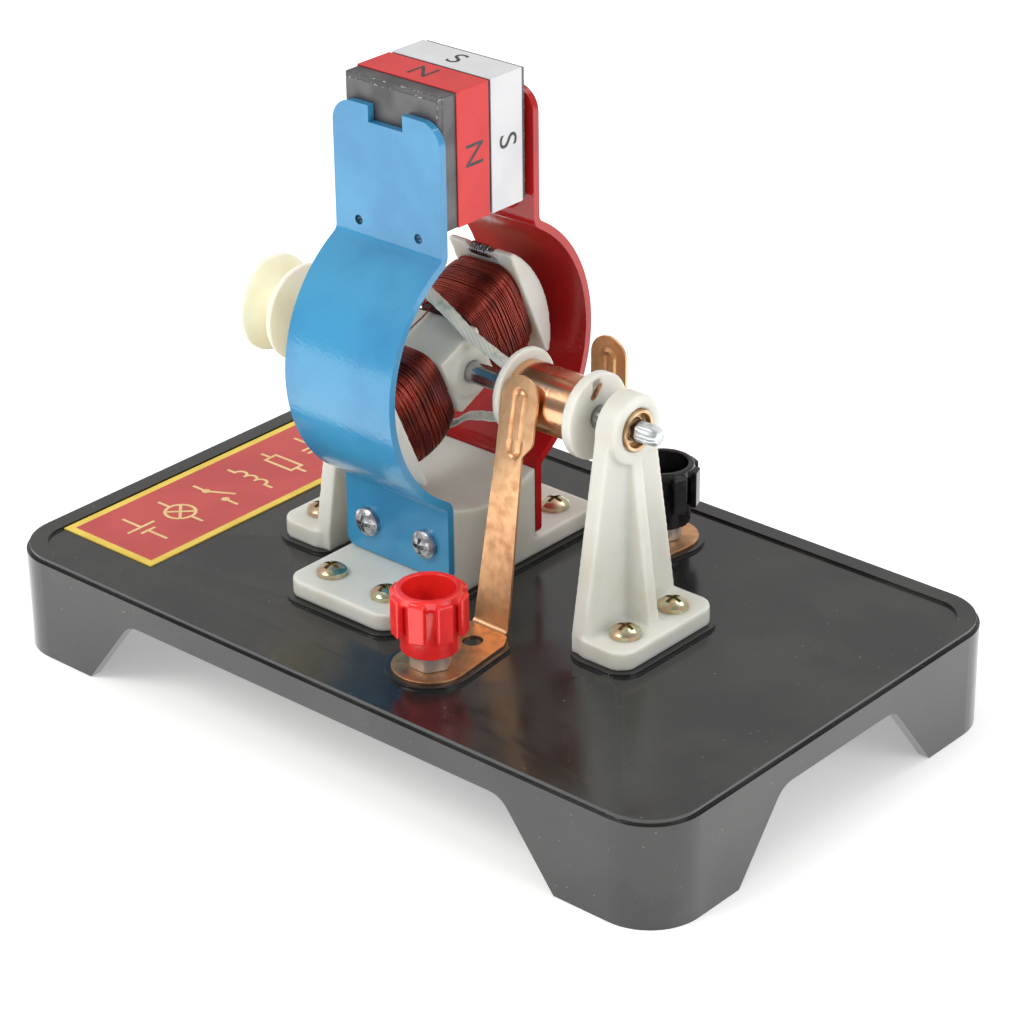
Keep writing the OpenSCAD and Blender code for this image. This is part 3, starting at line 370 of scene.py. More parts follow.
blue_paint = gloss_paint("blue_paint", (0.046, 0.290, 0.52), (0.030, 0.215, 0.43))
red_paint = gloss_paint("red_paint", (0.46, 0.008, 0.009), (0.38, 0.006, 0.007), 0.65)
# The two darker paints are painted shade for the dents of the pips in the poles.
pip_shade_blue = gloss_paint("pip_shade_blue", (0.010, 0.060, 0.12), (0.020, 0.11, 0.21))
pip_shade_red = gloss_paint("pip_shade_red", (0.12, 0.005, 0.005), (0.20, 0.008, 0.008))

# %% [markdown]
# ### Metals
# Bare metals get their colour from their reflections, so what matters is how rough they are
# and which way the tool marks run. The screws in plastic are yellow-zinc plated, the ones in
# the poles are bright, and the hex nuts under the caps are a duller plated steel; the shaft is
# ground steel. The copper of the brushes is rubbed, and is painted darker brown low down as
# painted shade; the commutator has marks running round it from turning.

# %% Steels
surface(
    "bright_steel", (0.60, 0.61, 0.63), 0.28, 1.0, (0.66, 0.67, 0.69), (0.36, 0.37, 0.39), 900,
    (0.42, 0.6), gloss=(0.24, 0.42), bump=(1900, 3, 0.00012, 0.7))

nut_steel = surface(
    "nut_steel", (0.40, 0.41, 0.42), 0.34, 0.65, (0.44, 0.45, 0.46), (0.30, 0.31, 0.32), 500,
    bump=(2600, 2, 0.00002, 0.4))

surface(
    "zinc_yellow", (0.66, 0.60, 0.42), 0.22, 1.0, (0.62, 0.62, 0.42), (0.62, 0.44, 0.30), 420,
    (0.44, 0.58), gloss=(0.14, 0.32), bump=(1900, 3, 0.00006, 0.5))

shaft_steel = surface(
    "shaft_steel", (0.48, 0.49, 0.51), 0.2, 1.0, (0.52, 0.53, 0.55), (0.36, 0.37, 0.39), 300,
    gloss=(0.14, 0.3), lines=((6, 1, 1), 900, 0.00001, 0.5))

white_zinc = surface(
    "white_zinc", (0.72, 0.76, 0.77), 0.38, 0.85, (0.78, 0.82, 0.83), (0.55, 0.59, 0.60), 700,
    bump=(2000, 3, 0.00006, 0.5))

surface(
    "core_steel", (0.22, 0.22, 0.23), 0.42, 1.0, (0.26, 0.26, 0.27), (0.15, 0.14, 0.13), 400,
    bump=(1800, 3, 0.00003, 0.5))

binding_wire = surface(
    "binding_wire", (0.34, 0.345, 0.36), 0.26, 0.95, (0.40, 0.405, 0.42), (0.20, 0.20, 0.21), 900,
    bump=(3000, 2, 0.00001, 0.5))

# %% Copper and brass
brush_copper = finish("brush_copper", (0.90, 0.55, 0.31), 0.38, 1.0)
oxide = vary_colour(brush_copper, (0.93, 0.56, 0.30), (0.80, 0.44, 0.22), 500, 0.38, 0.75)
vary_roughness(brush_copper, oxide.outputs["Mask"], 0.36, 0.52)
# Painted shade: the lower part of each strip is mixed towards a darker brown by height.
shaded_low_colour = place_group(brush_copper, mottle, Colour_A=(0.78, 0.43, 0.22, 1), Colour_B=(0.52, 0.27, 0.15, 1),
                      Scale=420, From=0.4, To=0.75)
strip_place = add(brush_copper, "TexCoord")
strip_split = add(brush_copper, "SeparateXYZ")
shade_low_down = add(brush_copper, "MapRange",
               {"From Min": 0.024, "From Max": 0.052, "To Min": 0.85, "To Max": 0.1})
join(brush_copper, (strip_place.outputs["Object"], strip_split.inputs[0]),
     (strip_split.outputs["Z"], shade_low_down.inputs["Value"]))
mixed(brush_copper, shade_low_down.outputs["Result"], oxide.outputs["Colour"], shaded_low_colour.outputs["Colour"])
drawn = place_group(brush_copper, fine_lines, Stretch=(5, 1, 0.25), Scale=900)
relief(brush_copper, drawn.outputs["Height"], 0.00007, 0.7)

turned_copper = surface(
    "turned_copper", (0.76, 0.42, 0.24), 0.26, 1.0, (0.84, 0.47, 0.27), (0.56, 0.28, 0.15), 120,
    (0.42, 0.72), gloss=(0.2, 0.36), lines=((8, 0.4, 0.4), 700, 0.00003, 0.5))

worn_copper = surface(
    "worn_copper", (0.40, 0.20, 0.10), 0.5, 0.9, (0.46, 0.24, 0.12), (0.20, 0.09, 0.045), 900,
    (0.42, 0.62), bump=(2500, 3, 0.00008, 0.6))

surface(
    "bush_brass", (0.62, 0.42, 0.24), 0.3, 1.0, (0.68, 0.48, 0.28), (0.46, 0.28, 0.15), 500,
    bump=(2200, 3, 0.00002, 0.4))

# %% [markdown]
# ### Magnets, papers, wire and cloth
# The magnets are dark sintered ferrite, ground on their faces with strokes that run up and down.
# The papers are printed and lie flat. The wire is enamelled: a dark red-brown lacquer over
# copper, which glints along the top of every turn. The sleeves are varnished woven cloth.

# %% Magnet, paper and label finishes
ferrite = surface(
    "ferrite", (0.11, 0.108, 0.109), 0.44, 0.45, (0.115, 0.113, 0.114), (0.085, 0.084, 0.085), 140,
    gloss=(0.38, 0.52), lines=((3.5, 3.5, 0.12), 900, 0.00010, 0.8))

scuffed_ferrite = finish("scuffed_ferrite", (0.16, 0.16, 0.165), 0.6, 0.3)
scuffs = vary_colour(scuffed_ferrite, (0.09, 0.09, 0.095), (0.42, 0.42, 0.42), 1500, 0.56, 0.64)
relief(scuffed_ferrite, scuffs.outputs["Mask"], 0.00008, 0.6)

surface(
    "red_paper", (0.60, 0.032, 0.032), 0.42, 0.0, (0.62, 0.034, 0.034), (0.56, 0.026, 0.028), 90,
    bump=(1600, 3, 0.00002, 0.3), Specular_IOR_Level=0.35)

surface(
    "white_paper", (0.63, 0.63, 0.645), 0.42, 0.0, (0.65, 0.65, 0.665), (0.60, 0.60, 0.62), 90,
    bump=(1600, 3, 0.00002, 0.3))

black_ink = surface(
    "black_ink", (0.025, 0.024, 0.026), 0.5, 0.0, (0.022, 0.021, 0.023), (0.05, 0.045, 0.05), 1200)

label_red = surface(
    "label_red", (0.55, 0.075, 0.07), 0.42, 0.0, (0.57, 0.078, 0.072), (0.51, 0.066, 0.062), 80,
    bump=(1500, 2, 0.00002, 0.3))

label_yellow = surface(
    "label_yellow", (0.84, 0.62, 0.09), 0.36, 0.0, (0.86, 0.65, 0.10), (0.78, 0.55, 0.07), 120,
    bump=(1500, 2, 0.00002, 0.3))

label_cream = surface(
    "label_cream", (0.84, 0.60, 0.27), 0.4, 0.0, (0.86, 0.63, 0.30), (0.78, 0.54, 0.23), 300)

# %% Enamelled wire and woven sleeve
enamel = surface(
    "enamel", (0.30, 0.032, 0.018), 0.32, 0.6, (0.36, 0.040, 0.020), (0.13, 0.014, 0.010), 110,
    (0.4, 0.66), gloss=(0.24, 0.4), Coat_Weight=0.35, Coat_Roughness=0.1)

# Painted shade: a much darker copy of the enamel, for the coil core seen between the turns.
shaded_enamel = surface(
    "shaded_enamel", (0.045, 0.010, 0.007), 0.5, 0.0, (0.05, 0.011, 0.008), (0.03, 0.006, 0.005), 420)

sleeve_cloth = surface(
    "sleeve_cloth", (0.62, 0.65, 0.55), 0.5, 0.0, (0.76, 0.76, 0.67), (0.44, 0.58, 0.47), 420,
    (0.52, 0.7), Coat_Weight=0.25, Coat_Roughness=0.3)
weave_place = add(sleeve_cloth, "TexCoord")
weave = add(sleeve_cloth, "TexWave", {"Scale": 620, "Distortion": 2.5},
            wave_type="BANDS", bands_direction="DIAGONAL")
join(sleeve_cloth, (weave_place.outputs["Object"], weave.inputs["Vector"]))
relief(sleeve_cloth, weave.outputs["Fac"], 0.00012, 0.8)

# A slot of the solids takes the finish of its own name, or the one named here.
finish_of_slot = finishes | {
    "black_moulding": black_base, "label_print": label_red, "white_moulding": nylon,
    "magnet_grey": ferrite, "copper": brush_copper, "wire_enamel": shaded_enamel,
    "red_plastic": red_cap_plastic, "black_plastic": black_cap_plastic, "cream_plastic": cream_pulley,
}
print("finishes made:", len(finishes))

# %% [markdown]
# ## Copies of the solids with broken edges
# No real edge is perfectly sharp: a moulding has a radius, a sheet is deburred and its paint
# rounds it off. A copy of the solid is merged, its flat faces are joined again, and a Bevel
# modifier breaks every corner. The highlight that runs along such an edge is what the eye
# reads as a real object. The copy stands for the node, and rides on the same body.

# %% Making pieces
def new_parts(result, kind=bmesh.types.BMVert):
    """The vertices, or the edges, that an operator says it made."""
    return [g for g in result["geom"] if isinstance(g, kind)]

def merged_copy(node):
    """The node's solid as a clean bmesh: doubles merged, flat triangles joined."""
    bm = bmesh.new()
    bm.from_mesh(nodes[node].data)
    bmesh.ops.remove_doubles(bm, verts=bm.verts, dist=2e-6)
    bmesh.ops.dissolve_limit(bm, angle_limit=radians(0.4), verts=bm.verts, edges=bm.edges)
    return bm

def piece(bm, name, material, body, stands_for=(), sharp=32):
    """An object from a bmesh: shaded smooth up to an angle, riding on a body."""
    mesh = bpy.data.meshes.new(name)
    bm.to_mesh(mesh)
    bm.free()
    mesh.shade_smooth()
    mesh.set_sharp_from_angle(angle=radians(sharp))
    for m in material if isinstance(material, list) else [material]:
        mesh.materials.append(m)
    o = bpy.data.objects.new(name, mesh)
    show(o)
    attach(o, body)
    for n in stands_for:
        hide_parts(n)
    print(name, "on", body, "has", len(mesh.polygons), "faces")
    return o

def node_piece(node, ending, material):
    """The node's own solid as a piece that stands for it."""
    return piece(merged_copy(node), node + ending, material, body_of_node[node], [node])

def break_edges(o, width, segments=3):
    """Rounds every corner sharper than 32 degrees."""
    b = o.modifiers.new("broken_edges", "BEVEL")
    b.width = width
    b.segments = segments
    b.limit_method = "ANGLE"
    b.angle_limit = radians(32)
    b.profile = 0.5
    b.harden_normals = True
    b.use_clamp_overlap = True
    return o

def dressed(node, width, material=None):
    """The node's own solid with broken edges and its finish."""
    return break_edges(node_piece(node, "_piece", material or finish_of_slot[slot_of_node[node]]), width)

# %% Pieces that keep their solid's shape
edge_width = {
    "base_shell": 0.35, "front_bush": 0.2, "rear_bush": 0.2,
    "stand_screws": 0.16, "front_pillar_screws": 0.16, "rear_pillar_screws": 0.16,
    "blue_pole_screws": 0.16, "red_pole_screws": 0.16,
    "red_stud": 0.2, "black_stud": 0.2,
    "red_cap_insert": 0.15, "black_cap_insert": 0.15, "upper_core": 0.15, "lower_core": 0.15,
    "pulley": 0.35, "north_paper": 0.12, "south_paper": 0.12,
}
paper_pressed = 0.05 * mm
for node, width in edge_width.items():
    o = dressed(node, width * mm)
    if "paper" in node:
        # The top is pressed down a little, so that its ink stays inside the solid's height.
        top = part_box(node)[1].z
        for v in o.data.vertices:
            if v.co.z > top - 0.01 * mm:
                v.co.z -= paper_pressed
# The ground corners of the magnets are scuffed, so their bevels take a second finish.
for node in ("north_magnet", "south_magnet"):
    o = dressed(node, 0.16 * mm)
    o.data.materials.append(scuffed_ferrite)
    o.modifiers["broken_edges"].material = 1
for node in ("red_hex_nut", "black_hex_nut"):
    dressed(node, 0.2 * mm, nut_steel)
dressed("upper_segment", 0.12 * mm, turned_copper)
dressed("lower_segment", 0.12 * mm, turned_copper)

# %% [markdown]
# ## Painted poles
# Each pole is one bent sheet with two punched pips that stop the magnets. The pips are painted
# darker as painted shade in the dents, and the paint rounds the sheet's edges more than a file would.

# %% Poles with dark pips
magnet_x, pip_apart = -11.4, 7.1
pip_x, pip_z = (magnet_x - pip_apart, magnet_x + pip_apart), 91.1
pip_reach, outside_y = 1.0, 11.6

def painted_pole(node, side, paint, pip_shade):
    """A pole whose outer dents take the darker paint, which is painted shade in the pips."""
    bm = merged_copy(node)
    for f in bm.faces:
        c = f.calc_center_median() / mm
        near = min(hypot(c.x - x, c.z - pip_z) for x in pip_x)
        f.material_index = 1 if near < pip_reach and c.y * side > outside_y else 0
    o = piece(bm, node + "_painted", [paint, pip_shade], body_of_node[node], [node])
    break_edges(o, 0.5 * mm, 4)

painted_pole("blue_pole", -1, blue_paint, pip_shade_blue)
painted_pole("red_pole", 1, red_paint, pip_shade_red)

# %% [markdown]
# ## Soft mouldings
# The pillars, the stand, the rotor's body and the two caps are mouldings with soft inside
# corners as well as soft outside ones. A bevel rounds only what stands out, so these are
# remeshed into small even cells and then relaxed: the surface settles into the same small
# radius everywhere, like plastic that has filled a mould.

# %% Remesh and relax
def moulded(node, cell, rounds):
    """The node's solid, re-skinned with even cells and smoothed."""
    o = node_piece(node, "_moulding", finish_of_slot[slot_of_node[node]])
    skin = o.modifiers.new("skin", "REMESH")
    skin.mode = "VOXEL"
    skin.voxel_size = cell * mm
    soft = o.modifiers.new("soft", "SMOOTH")
    soft.factor = 0.5
    soft.iterations = rounds
    graph = bpy.context.evaluated_depsgraph_get()
    settled = bpy.data.meshes.new_from_object(o.evaluated_get(graph))
    o.modifiers.clear()
    o.data = settled
    settled.shade_smooth()
    print(node, "re-skinned with", len(settled.polygons), "faces")

for node, cell, rounds in (("magnet_stand", 0.36, 7), ("front_pillar", 0.3, 8), ("rear_pillar", 0.3, 8),
                           ("armature_frame", 0.3, 9), ("commutator_sleeve", 0.25, 4),
                           ("red_cap", 0.2, 6), ("black_cap", 0.2, 6)):
    moulded(node, cell, rounds)

# %% [markdown]
# ## The rotor's own directions
# The rotor rests turned by the angle between its pole line and the level. A small function
# turns a point given along the shaft, out along the poles and across them into the frame.

# %% From rotor to frame
axis_z = 61.5
pole_turn = radians(24)
rotor_x = -12.15

def on_rotor(x, u, t):
    """x along the shaft, u out along the upper pole, t across it; millimetres in, metres out."""
    return Vector((x, u * cos(pole_turn) - t * sin(pole_turn),
                   axis_z + u * sin(pole_turn) + t * cos(pole_turn))) * mm

# %% [markdown]
# ## Wire
# A wire is a line with a thickness, so it is made as a curve with a round bevel and then turned
# into a mesh. The same helper makes the coils, the jumper between them and the binding wire.

# %% A wire along points
def bmesh_of(curve):
    """A curve or a text as a clean bmesh."""
    holder = bpy.data.objects.new(curve.name, curve)
    show(holder)
    mesh = bpy.data.meshes.new_from_object(holder)
    bpy.data.objects.remove(holder)
    bm = bmesh.new()
    bm.from_mesh(mesh)
    bpy.data.meshes.remove(mesh)
    bmesh.ops.remove_doubles(bm, verts=bm.verts, dist=1e-7)
    return bm

def wire(name, points, diameter, material, stands_for, sides=3):
    """A round wire through points in metres, on the rotor."""
    line = bpy.data.curves.new(name, "CURVE")
    line.dimensions = "3D"
    line.bevel_depth = diameter / 2
    line.bevel_resolution = sides - 2
    line.use_fill_caps = True
    spline = line.splines.new("POLY")
    spline.points.add(len(points) - 1)
    for p, q in zip(spline.points, points):
        p.co = (*q, 1)
    bm = bmesh_of(line)
    bmesh.ops.recalc_face_normals(bm, faces=bm.faces)
    piece(bm, name, material, "rotor", stands_for, sharp=60)

# %% [markdown]
# ## The coils
# Each coil is one long enamelled wire wound on a square neck, layer over layer, until it bulges
# like a barrel. The inner layers never show, so the solid's plain core stays under a full
# outer layer. The winder's hand is not perfect: the pitch wanders a little, and the last layer
# goes back towards the hub in steeper turns that cross the ones below.

# %% Profile of a coil
hub_face, shoe_face = 5.3, 18.0
along_at_hub, along_at_shoe = 6.3, 6.2
across_at_hub, across_at_shoe = 8.2, 8.8
barrel = 0.9

def coil_sides(u):
    """Half length along the shaft and half height across the pole, at u."""
    v = (u - hub_face) / (shoe_face - hub_face)
    swell = barrel * 4 * v * (1 - v)
    return (along_at_hub + (along_at_shoe - along_at_hub) * v + swell,
            across_at_hub + (across_at_shoe - across_at_hub) * v + swell)

def squared(c):
    """Turns a sine or cosine into its signed root, which makes a circle a rounded square."""
    return copysign(sqrt(abs(c)), c)

def coil_point(u, q, lift, side):
    """A point of a rounded rectangle round the neck, at angle q."""
    a, b = coil_sides(u)
    return on_rotor(rotor_x + squared(cos(q)) * (a + lift), side * u,
                    squared(sin(q)) * (b + lift))

# %% Winding the wire
wire_mm = 0.36
steps, turns_out, turns_back = 40, 31, 19
first_u, last_u = hub_face + 0.25, shoe_face - 0.25
step_in, back_to = 1.2, hub_face + 3.4
first_lift, second_lift = wire_mm / 2 + 0.02, wire_mm * 1.32

def wind_coil(which, side, seed):
    """One coil: a layer out from the hub, then a looser one back over it, round the solid's core."""
    rng = random.Random(seed)
    points = []
    wander = [rng.uniform(-0.06, 0.06) for _ in range(turns_out + 2)]
    for i in range(turns_out * steps + 1):
        k, part = divmod(i, steps)
        f = part / steps
        u = first_u + (last_u - first_u) * i / (turns_out * steps)
        u += wander[k] * (1 - f) + wander[k + 1] * f
        points.append(coil_point(min(max(u, first_u), last_u), 2 * pi * f, first_lift, side))
    wander = [rng.uniform(-0.22, 0.22) for _ in range(turns_back + 2)]
    for i in range(1, turns_back * steps + 1):
        k, part = divmod(i, steps)
        f = part / steps
        u = last_u - step_in * min(1, i / steps) + (back_to - last_u + step_in) * i / (turns_back * steps)
        u += wander[k] * (1 - f) + wander[k + 1] * f + 0.16 * sin(4 * pi * f + k)
        points.append(coil_point(u, 2 * pi * f, second_lift, side))
    wire(which + "_coil_wire", points, wire_mm * mm, enamel, [which + "_winding"], 4)
    core = which + "_winding_core"
    # The core takes the darker enamel: painted shade between the turns.
    piece(merged_copy(core), which + "_coil_wire_core", shaded_enamel, "rotor", [core])

wind_coil("upper", 1, 4)
wind_coil("lower", -1, 9)
print("turns on each coil:", turns_out + turns_back)

# %% [markdown]
# ## The two brushes
# A brush is one copper strip: a flat foot under the terminal, a round bend, a tapering arm and
# a rounded head with a long tongue pressed into it. It starts as a flat grid whose rows follow
# the strip and whose columns span it; each vertex is then moved to its place. The foot is a
# copy of the plate's solid cut off where the bend begins. Only the arm springs; the strip
# spans the base and the brush's body, and is left without a parent.

# %% Shape of a strip
bend_start_y, hinge_y, hinge_z = -16.375, -15.1, 21.8
plate_mid_z, arm_length, half_thick = 21.55, 46.9, 0.25
arm_x, terminal_x = 13.5, 14.5
bend_radius, lead_in = 1.2, 0.25
head_radius, stand_off = 4.05, 0.34
foot_half, neck_half = 4.0, 3.0
neck_shift, head_shift = -0.9, 0.05

def eased(v):
    """A soft step from 0 to 1."""
    return v * v * (3 - 2 * v)

def strip_width(d):
    """Centre offset and half width, at distance d up from the bend."""
    neck_end, head_start = arm_length - 15.1, arm_length - 11.6
    if d < neck_end:
        v = max(0, d) / neck_end
        return neck_shift * v, foot_half + (neck_half - foot_half) * v
    if d < head_start:
        v = eased((d - neck_end) / (head_start - neck_end))
        return neck_shift + (head_shift - neck_shift) * v, neck_half + (head_radius - neck_half) * v
    rise = max(0.0, d - (arm_length - head_radius))
    return head_shift, sqrt(max(head_radius ** 2 - rise ** 2, 0.0))

def tongue_depth(side_offset, d):
    """How deep the pressed tongue is: a long rounded trough with a raised middle."""
    middle, reach, edge, inner_edge = arm_length - 8.9, 4.9, 1.6, 1.0
    along = max(abs(d - middle) - reach, 0)
    away = hypot(side_offset, along)
    trough = eased(min(max((edge - away) / 0.4, 0.0), 1.0))
    raised = eased(min(max((inner_edge - away) / 0.35, 0.0), 1.0))
    return 0.42 * trough - 0.34 * raised

def brush_strip(lean, turned):
    """A bent strip; lean is the arm's angle from upright, turned puts it on the far side."""
    direction = Vector((0, sin(lean), cos(lean)))
    inward = Vector((0, cos(lean), -sin(lean)))
    root = Vector((0, hinge_y - half_thick * cos(lean), hinge_z + half_thick * sin(lean)))
    corner = root + direction * ((plate_mid_z - root.z) / direction.z)
    swing = pi / 2 - lean
    reach = bend_radius * tan(swing / 2)
    start, bend_end = corner - Vector((0, reach, 0)), corner + direction * reach
    arc_centre = start + Vector((0, 0, bend_radius))
    bm = bmesh.new()
    bmesh.ops.create_grid(bm, x_segments=26, y_segments=150, size=0.5)
    already_up = (bend_end - root).length
    arc_length = bend_radius * swing
    total = lead_in + arc_length + (arm_length - already_up)
    for v in bm.verts:
        across, s = v.co.x * 2, total * (v.co.y + 0.5)
        d = 0.0
        if s < lead_in:
            p = start + Vector((0, s - lead_in, 0))
        elif s < lead_in + arc_length:
            a = (s - lead_in) / bend_radius
            p = arc_centre + bend_radius * Vector((0, sin(a), -cos(a)))
        else:
            d = s - lead_in - arc_length + already_up
            p = bend_end + direction * (s - lead_in - arc_length)
        offset, half = strip_width(d)
        x = offset + across * half
        if d > 0:
            p = p + inward * (tongue_depth(x - head_shift, d) - stand_off * min(d / arm_length, 1))
        v.co = Vector((arm_x + x, p.y, p.z)) * mm
    bmesh.ops.remove_doubles(bm, verts=bm.verts, dist=1e-6)
    if turned:
        bmesh.ops.rotate(bm, verts=bm.verts, cent=(terminal_x * mm, 0, 0),
                         matrix=Matrix.Rotation(pi, 3, "Z"))
    bmesh.ops.recalc_face_normals(bm, faces=bm.faces)
    bmesh.ops.solidify(bm, geom=bm.faces[:], thickness=2 * half_thick * mm)
    return bm

def brush(name, lean, turned):
    """The strip and the foot of one brush; the strip spans two bodies, so it has no parent."""
    o = piece(brush_strip(lean, turned), name + "_strip", brush_copper, "base", [name + "_arm"],
              sharp=40)
    o.parent = None
    flip = -1 if turned else 1
    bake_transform(o)
    foot = merged_copy(name + "_plate")
    cut_at = flip * bend_start_y * mm
    bmesh.ops.bisect_plane(foot, geom=foot.verts[:] + foot.edges[:] + foot.faces[:], dist=1e-7,
                           plane_co=(0, cut_at, 0), plane_no=(0, flip, 0), clear_outer=True)
    bmesh.ops.holes_fill(foot, edges=[e for e in foot.edges if e.is_boundary], sides=0)
    f = piece(foot, name + "_foot", brush_copper, "base", [name + "_plate"])
    break_edges(f, 0.1 * mm, 2)

commutator_r = 6.75
lean_front = atan2(-hinge_y - commutator_r, axis_z - hinge_z)
brush("front_brush", lean_front, False)
brush("rear_brush", 0.0, True)

# %% [markdown]
# ## Leads, jumper and binding wire
# Each coil's end leaves under a flat varnished sleeve that runs over the hub to the copper. The
# two coils are joined by a thin wire behind the hub, which the winder left with a loose curl.
# A few turns of dark binding wire, threaded through a slot in the upper shoe, balance the rotor.

# %% Woven sleeves
sleeve_width, sleeve_thickness = 2.4, 0.9

def sleeve(name, path, node):
    """A flat woven tube along path, given on the rotor in millimetres."""
    bm = bmesh.new()
    bmesh.ops.create_circle(bm, cap_ends=True, segments=14, radius=0.5)
    for v in bm.verts:
        v.co = Vector((v.co.x * sleeve_width, v.co.y * sleeve_thickness, 0)) * mm
    ends = [on_rotor(*p) for p in path]
    fine = []
    for i in range(len(ends) - 1):
        before, after = ends[max(i - 1, 0)], ends[min(i + 2, len(ends) - 1)]
        fine += interpolate_bezier(ends[i], ends[i] + (ends[i + 1] - before) / 6,
                                   ends[i + 1] - (after - ends[i]) / 6, ends[i + 1], 11)[:10]
    fine.append(ends[-1])
    across = (on_rotor(0, 1, 0) - on_rotor(0, 0, 0)).normalized()
    loop = sorted(bm.verts, key=lambda v: atan2(v.co.y, v.co.x))
    flat = [v.co.copy() for v in loop]
    current = loop
    for i, p in enumerate(fine):
        ahead_line = (fine[min(i + 1, len(fine) - 1)] - fine[max(i - 1, 0)]).normalized()
        side = (across - across.dot(ahead_line) * ahead_line).normalized()
        over = ahead_line.cross(side)
        ripple = 1 + 0.05 * sin(i * 2.1)
        if i:
            edges = [e for e in bm.edges if e.verts[0] in current and e.verts[1] in current]
            fresh = new_parts(bmesh.ops.extrude_edge_only(bm, edges=edges))
            current = [min(fresh, key=lambda w: (w.co - v.co).length) for v in current]
        for v, c in zip(current, flat):
            v.co = p + side * c.x * ripple + over * c.y
    bmesh.ops.contextual_create(bm, geom=[e for e in bm.edges if e.is_boundary])
    bmesh.ops.recalc_face_normals(bm, faces=bm.faces)
    piece(bm, name, sleeve_cloth, "rotor", [node], sharp=60)

sleeve("upper_sleeve", [(rotor_x - 3.8, 6.2, 10.4), (rotor_x + 3, 4.1, 9.2), (-3.6, 2.6, 6.75),
                        (6.9, 0.2, 5.1)], "upper_lead_sleeve")
sleeve("lower_sleeve", [(rotor_x - 3.8, -7.2, -11.7), (rotor_x + 4, -5.4, -10.0), (-3.6, -4, -7.5),
                        (6.9, -3.2, -5.1)], "lower_lead_sleeve")

# %% Jumper and binding wire
def through(stops, steps=12):
    """Points of a soft line through stops given on the rotor in millimetres."""
    p = [Vector(q) for q in stops]
    p = [p[0] * 2 - p[1]] + p + [p[-1] * 2 - p[-2]]
    line = []
    for i in range(1, len(p) - 2):
        for k in range(steps):
            f = k / steps
            line.append(0.5 * (2 * p[i] + (p[i + 1] - p[i - 1]) * f
                               + (2 * p[i - 1] - 5 * p[i] + 4 * p[i + 1] - p[i + 2]) * f * f
                               + (3 * p[i] - p[i - 1] - 3 * p[i + 1] + p[i + 2]) * f * f * f))
    line.append(p[-2])
    return [on_rotor(*q) for q in line]

thin_wire = 0.3 * mm
curl = [(-15.2, 6.2, 10.0), (-16.0, 4.6, 10.9), (-16.4, 3.0, 10.9), (-16.6, 2.2, 9.8), (-16.4, 3.0, 8.8),
        (-16.1, 4.2, 8.9), (-16.2, 4.6, 9.9), (-16.4, 3.6, 10.5), (-16.3, 2.6, 9.6), (-15.8, 4.4, 7.2),
        (-15.5, 5.2, 6.6)]
run_across = [(-15.4, 5.5, 7.4), (-15.6, 3.4, 6.9), (-15.6, 0.6, 7.1), (-15.6, -2.4, 7.2),
              (-15.5, -5.4, 7.8)]
loose_end = [(-15.2, 6.0, 10.2), (-16.2, 5.0, 9.4), (-16.3, 5.4, 7.8), (-15.6, 6.2, 7.4)]
for name, stops, stands_for in (("jumper", curl, ["jumper_wire"]), ("jumper_across", run_across, ()),
                                ("lead_end", loose_end, ())):
    wire(name, through(stops), thin_wire, enamel, stands_for, 4)

wraps, wrap_pitch, wrap_steps = 8, 0.56, 20
shoe_r, slot_end, wrap_u, wrap_half, binding_d = 21.6, 10.4, 18.4, 0.84, 0.36
shoe_tip = sqrt(shoe_r ** 2 - shoe_face ** 2)
tilt = radians(18)
binding = []
for i in range(wraps * wrap_steps + 1):
    q = pi + 2 * pi * i / wrap_steps
    c = squared(cos(q)) * ((shoe_tip - slot_end) / 2 + 0.30)
    s = squared(sin(q)) * wrap_half
    binding.append(on_rotor(rotor_x - wraps * wrap_pitch / 2 + wrap_pitch * i / wrap_steps,
                            wrap_u + s * cos(tilt) - c * sin(tilt),
                            (shoe_tip + slot_end) / 2 + c * cos(tilt) + s * sin(tilt)))
wire("binding", binding, binding_d * mm, binding_wire, ["balance_wire"])

# %% [markdown]
# ## Tangs of the commutator
# Each copper half has a tang that passes through the end flange and is hammered down on its
# face. It is a small drop-shaped lug: a circle whose width grows along its length.

# %% Copper tangs
tang_half_length, tang_narrow, tang_grows, tang_thick = 1.75, 0.42, 0.30, 0.34
flange_face = 25.88

def tang(name, turn):
    """A hammered lug on the end flange; turn is its place round the shaft."""
    bm = bmesh.new()
    bmesh.ops.create_circle(bm, cap_ends=True, segments=28, radius=1)
    for v in bm.verts:
        half = tang_narrow + tang_grows * (1 - v.co.x) / 2
        v.co = Vector((0, v.co.y * half, v.co.x * tang_half_length))
    top = new_parts(bmesh.ops.extrude_face_region(bm, geom=bm.faces[:]))
    bmesh.ops.translate(bm, verts=top, vec=(tang_thick, 0, 0))
    bmesh.ops.bevel(bm, geom=[e for e in bm.edges if all(v in top for v in e.verts)],
                    offset=0.12, segments=2, affect="EDGES", profile=0.5, material=-1)
    bmesh.ops.recalc_face_normals(bm, faces=bm.faces)
    place = Matrix.Translation((flange_face, 0, axis_z)) @ Matrix.Rotation(turn, 4, "X") \
        @ Matrix.Translation((0, -0.75, 5.05)) @ Matrix.Rotation(radians(-48), 4, "X")
    bmesh.ops.transform(bm, verts=bm.verts, matrix=Matrix.Scale(mm, 4) @ place)
    piece(bm, name, worn_copper, "rotor", (), sharp=50)

tang("upper_tang", 0)
tang("lower_tang", pi)

# %% [markdown]
# ## Shaft
# The shaft is a ground rod. Its free end is squeezed by a fluted tool, so that a wheel pressed
# on it grips: a ring of shallow flutes runs along the last few millimetres.

# %% Shaft with a fluted end
flutes, flute_depth = 7, 0.17

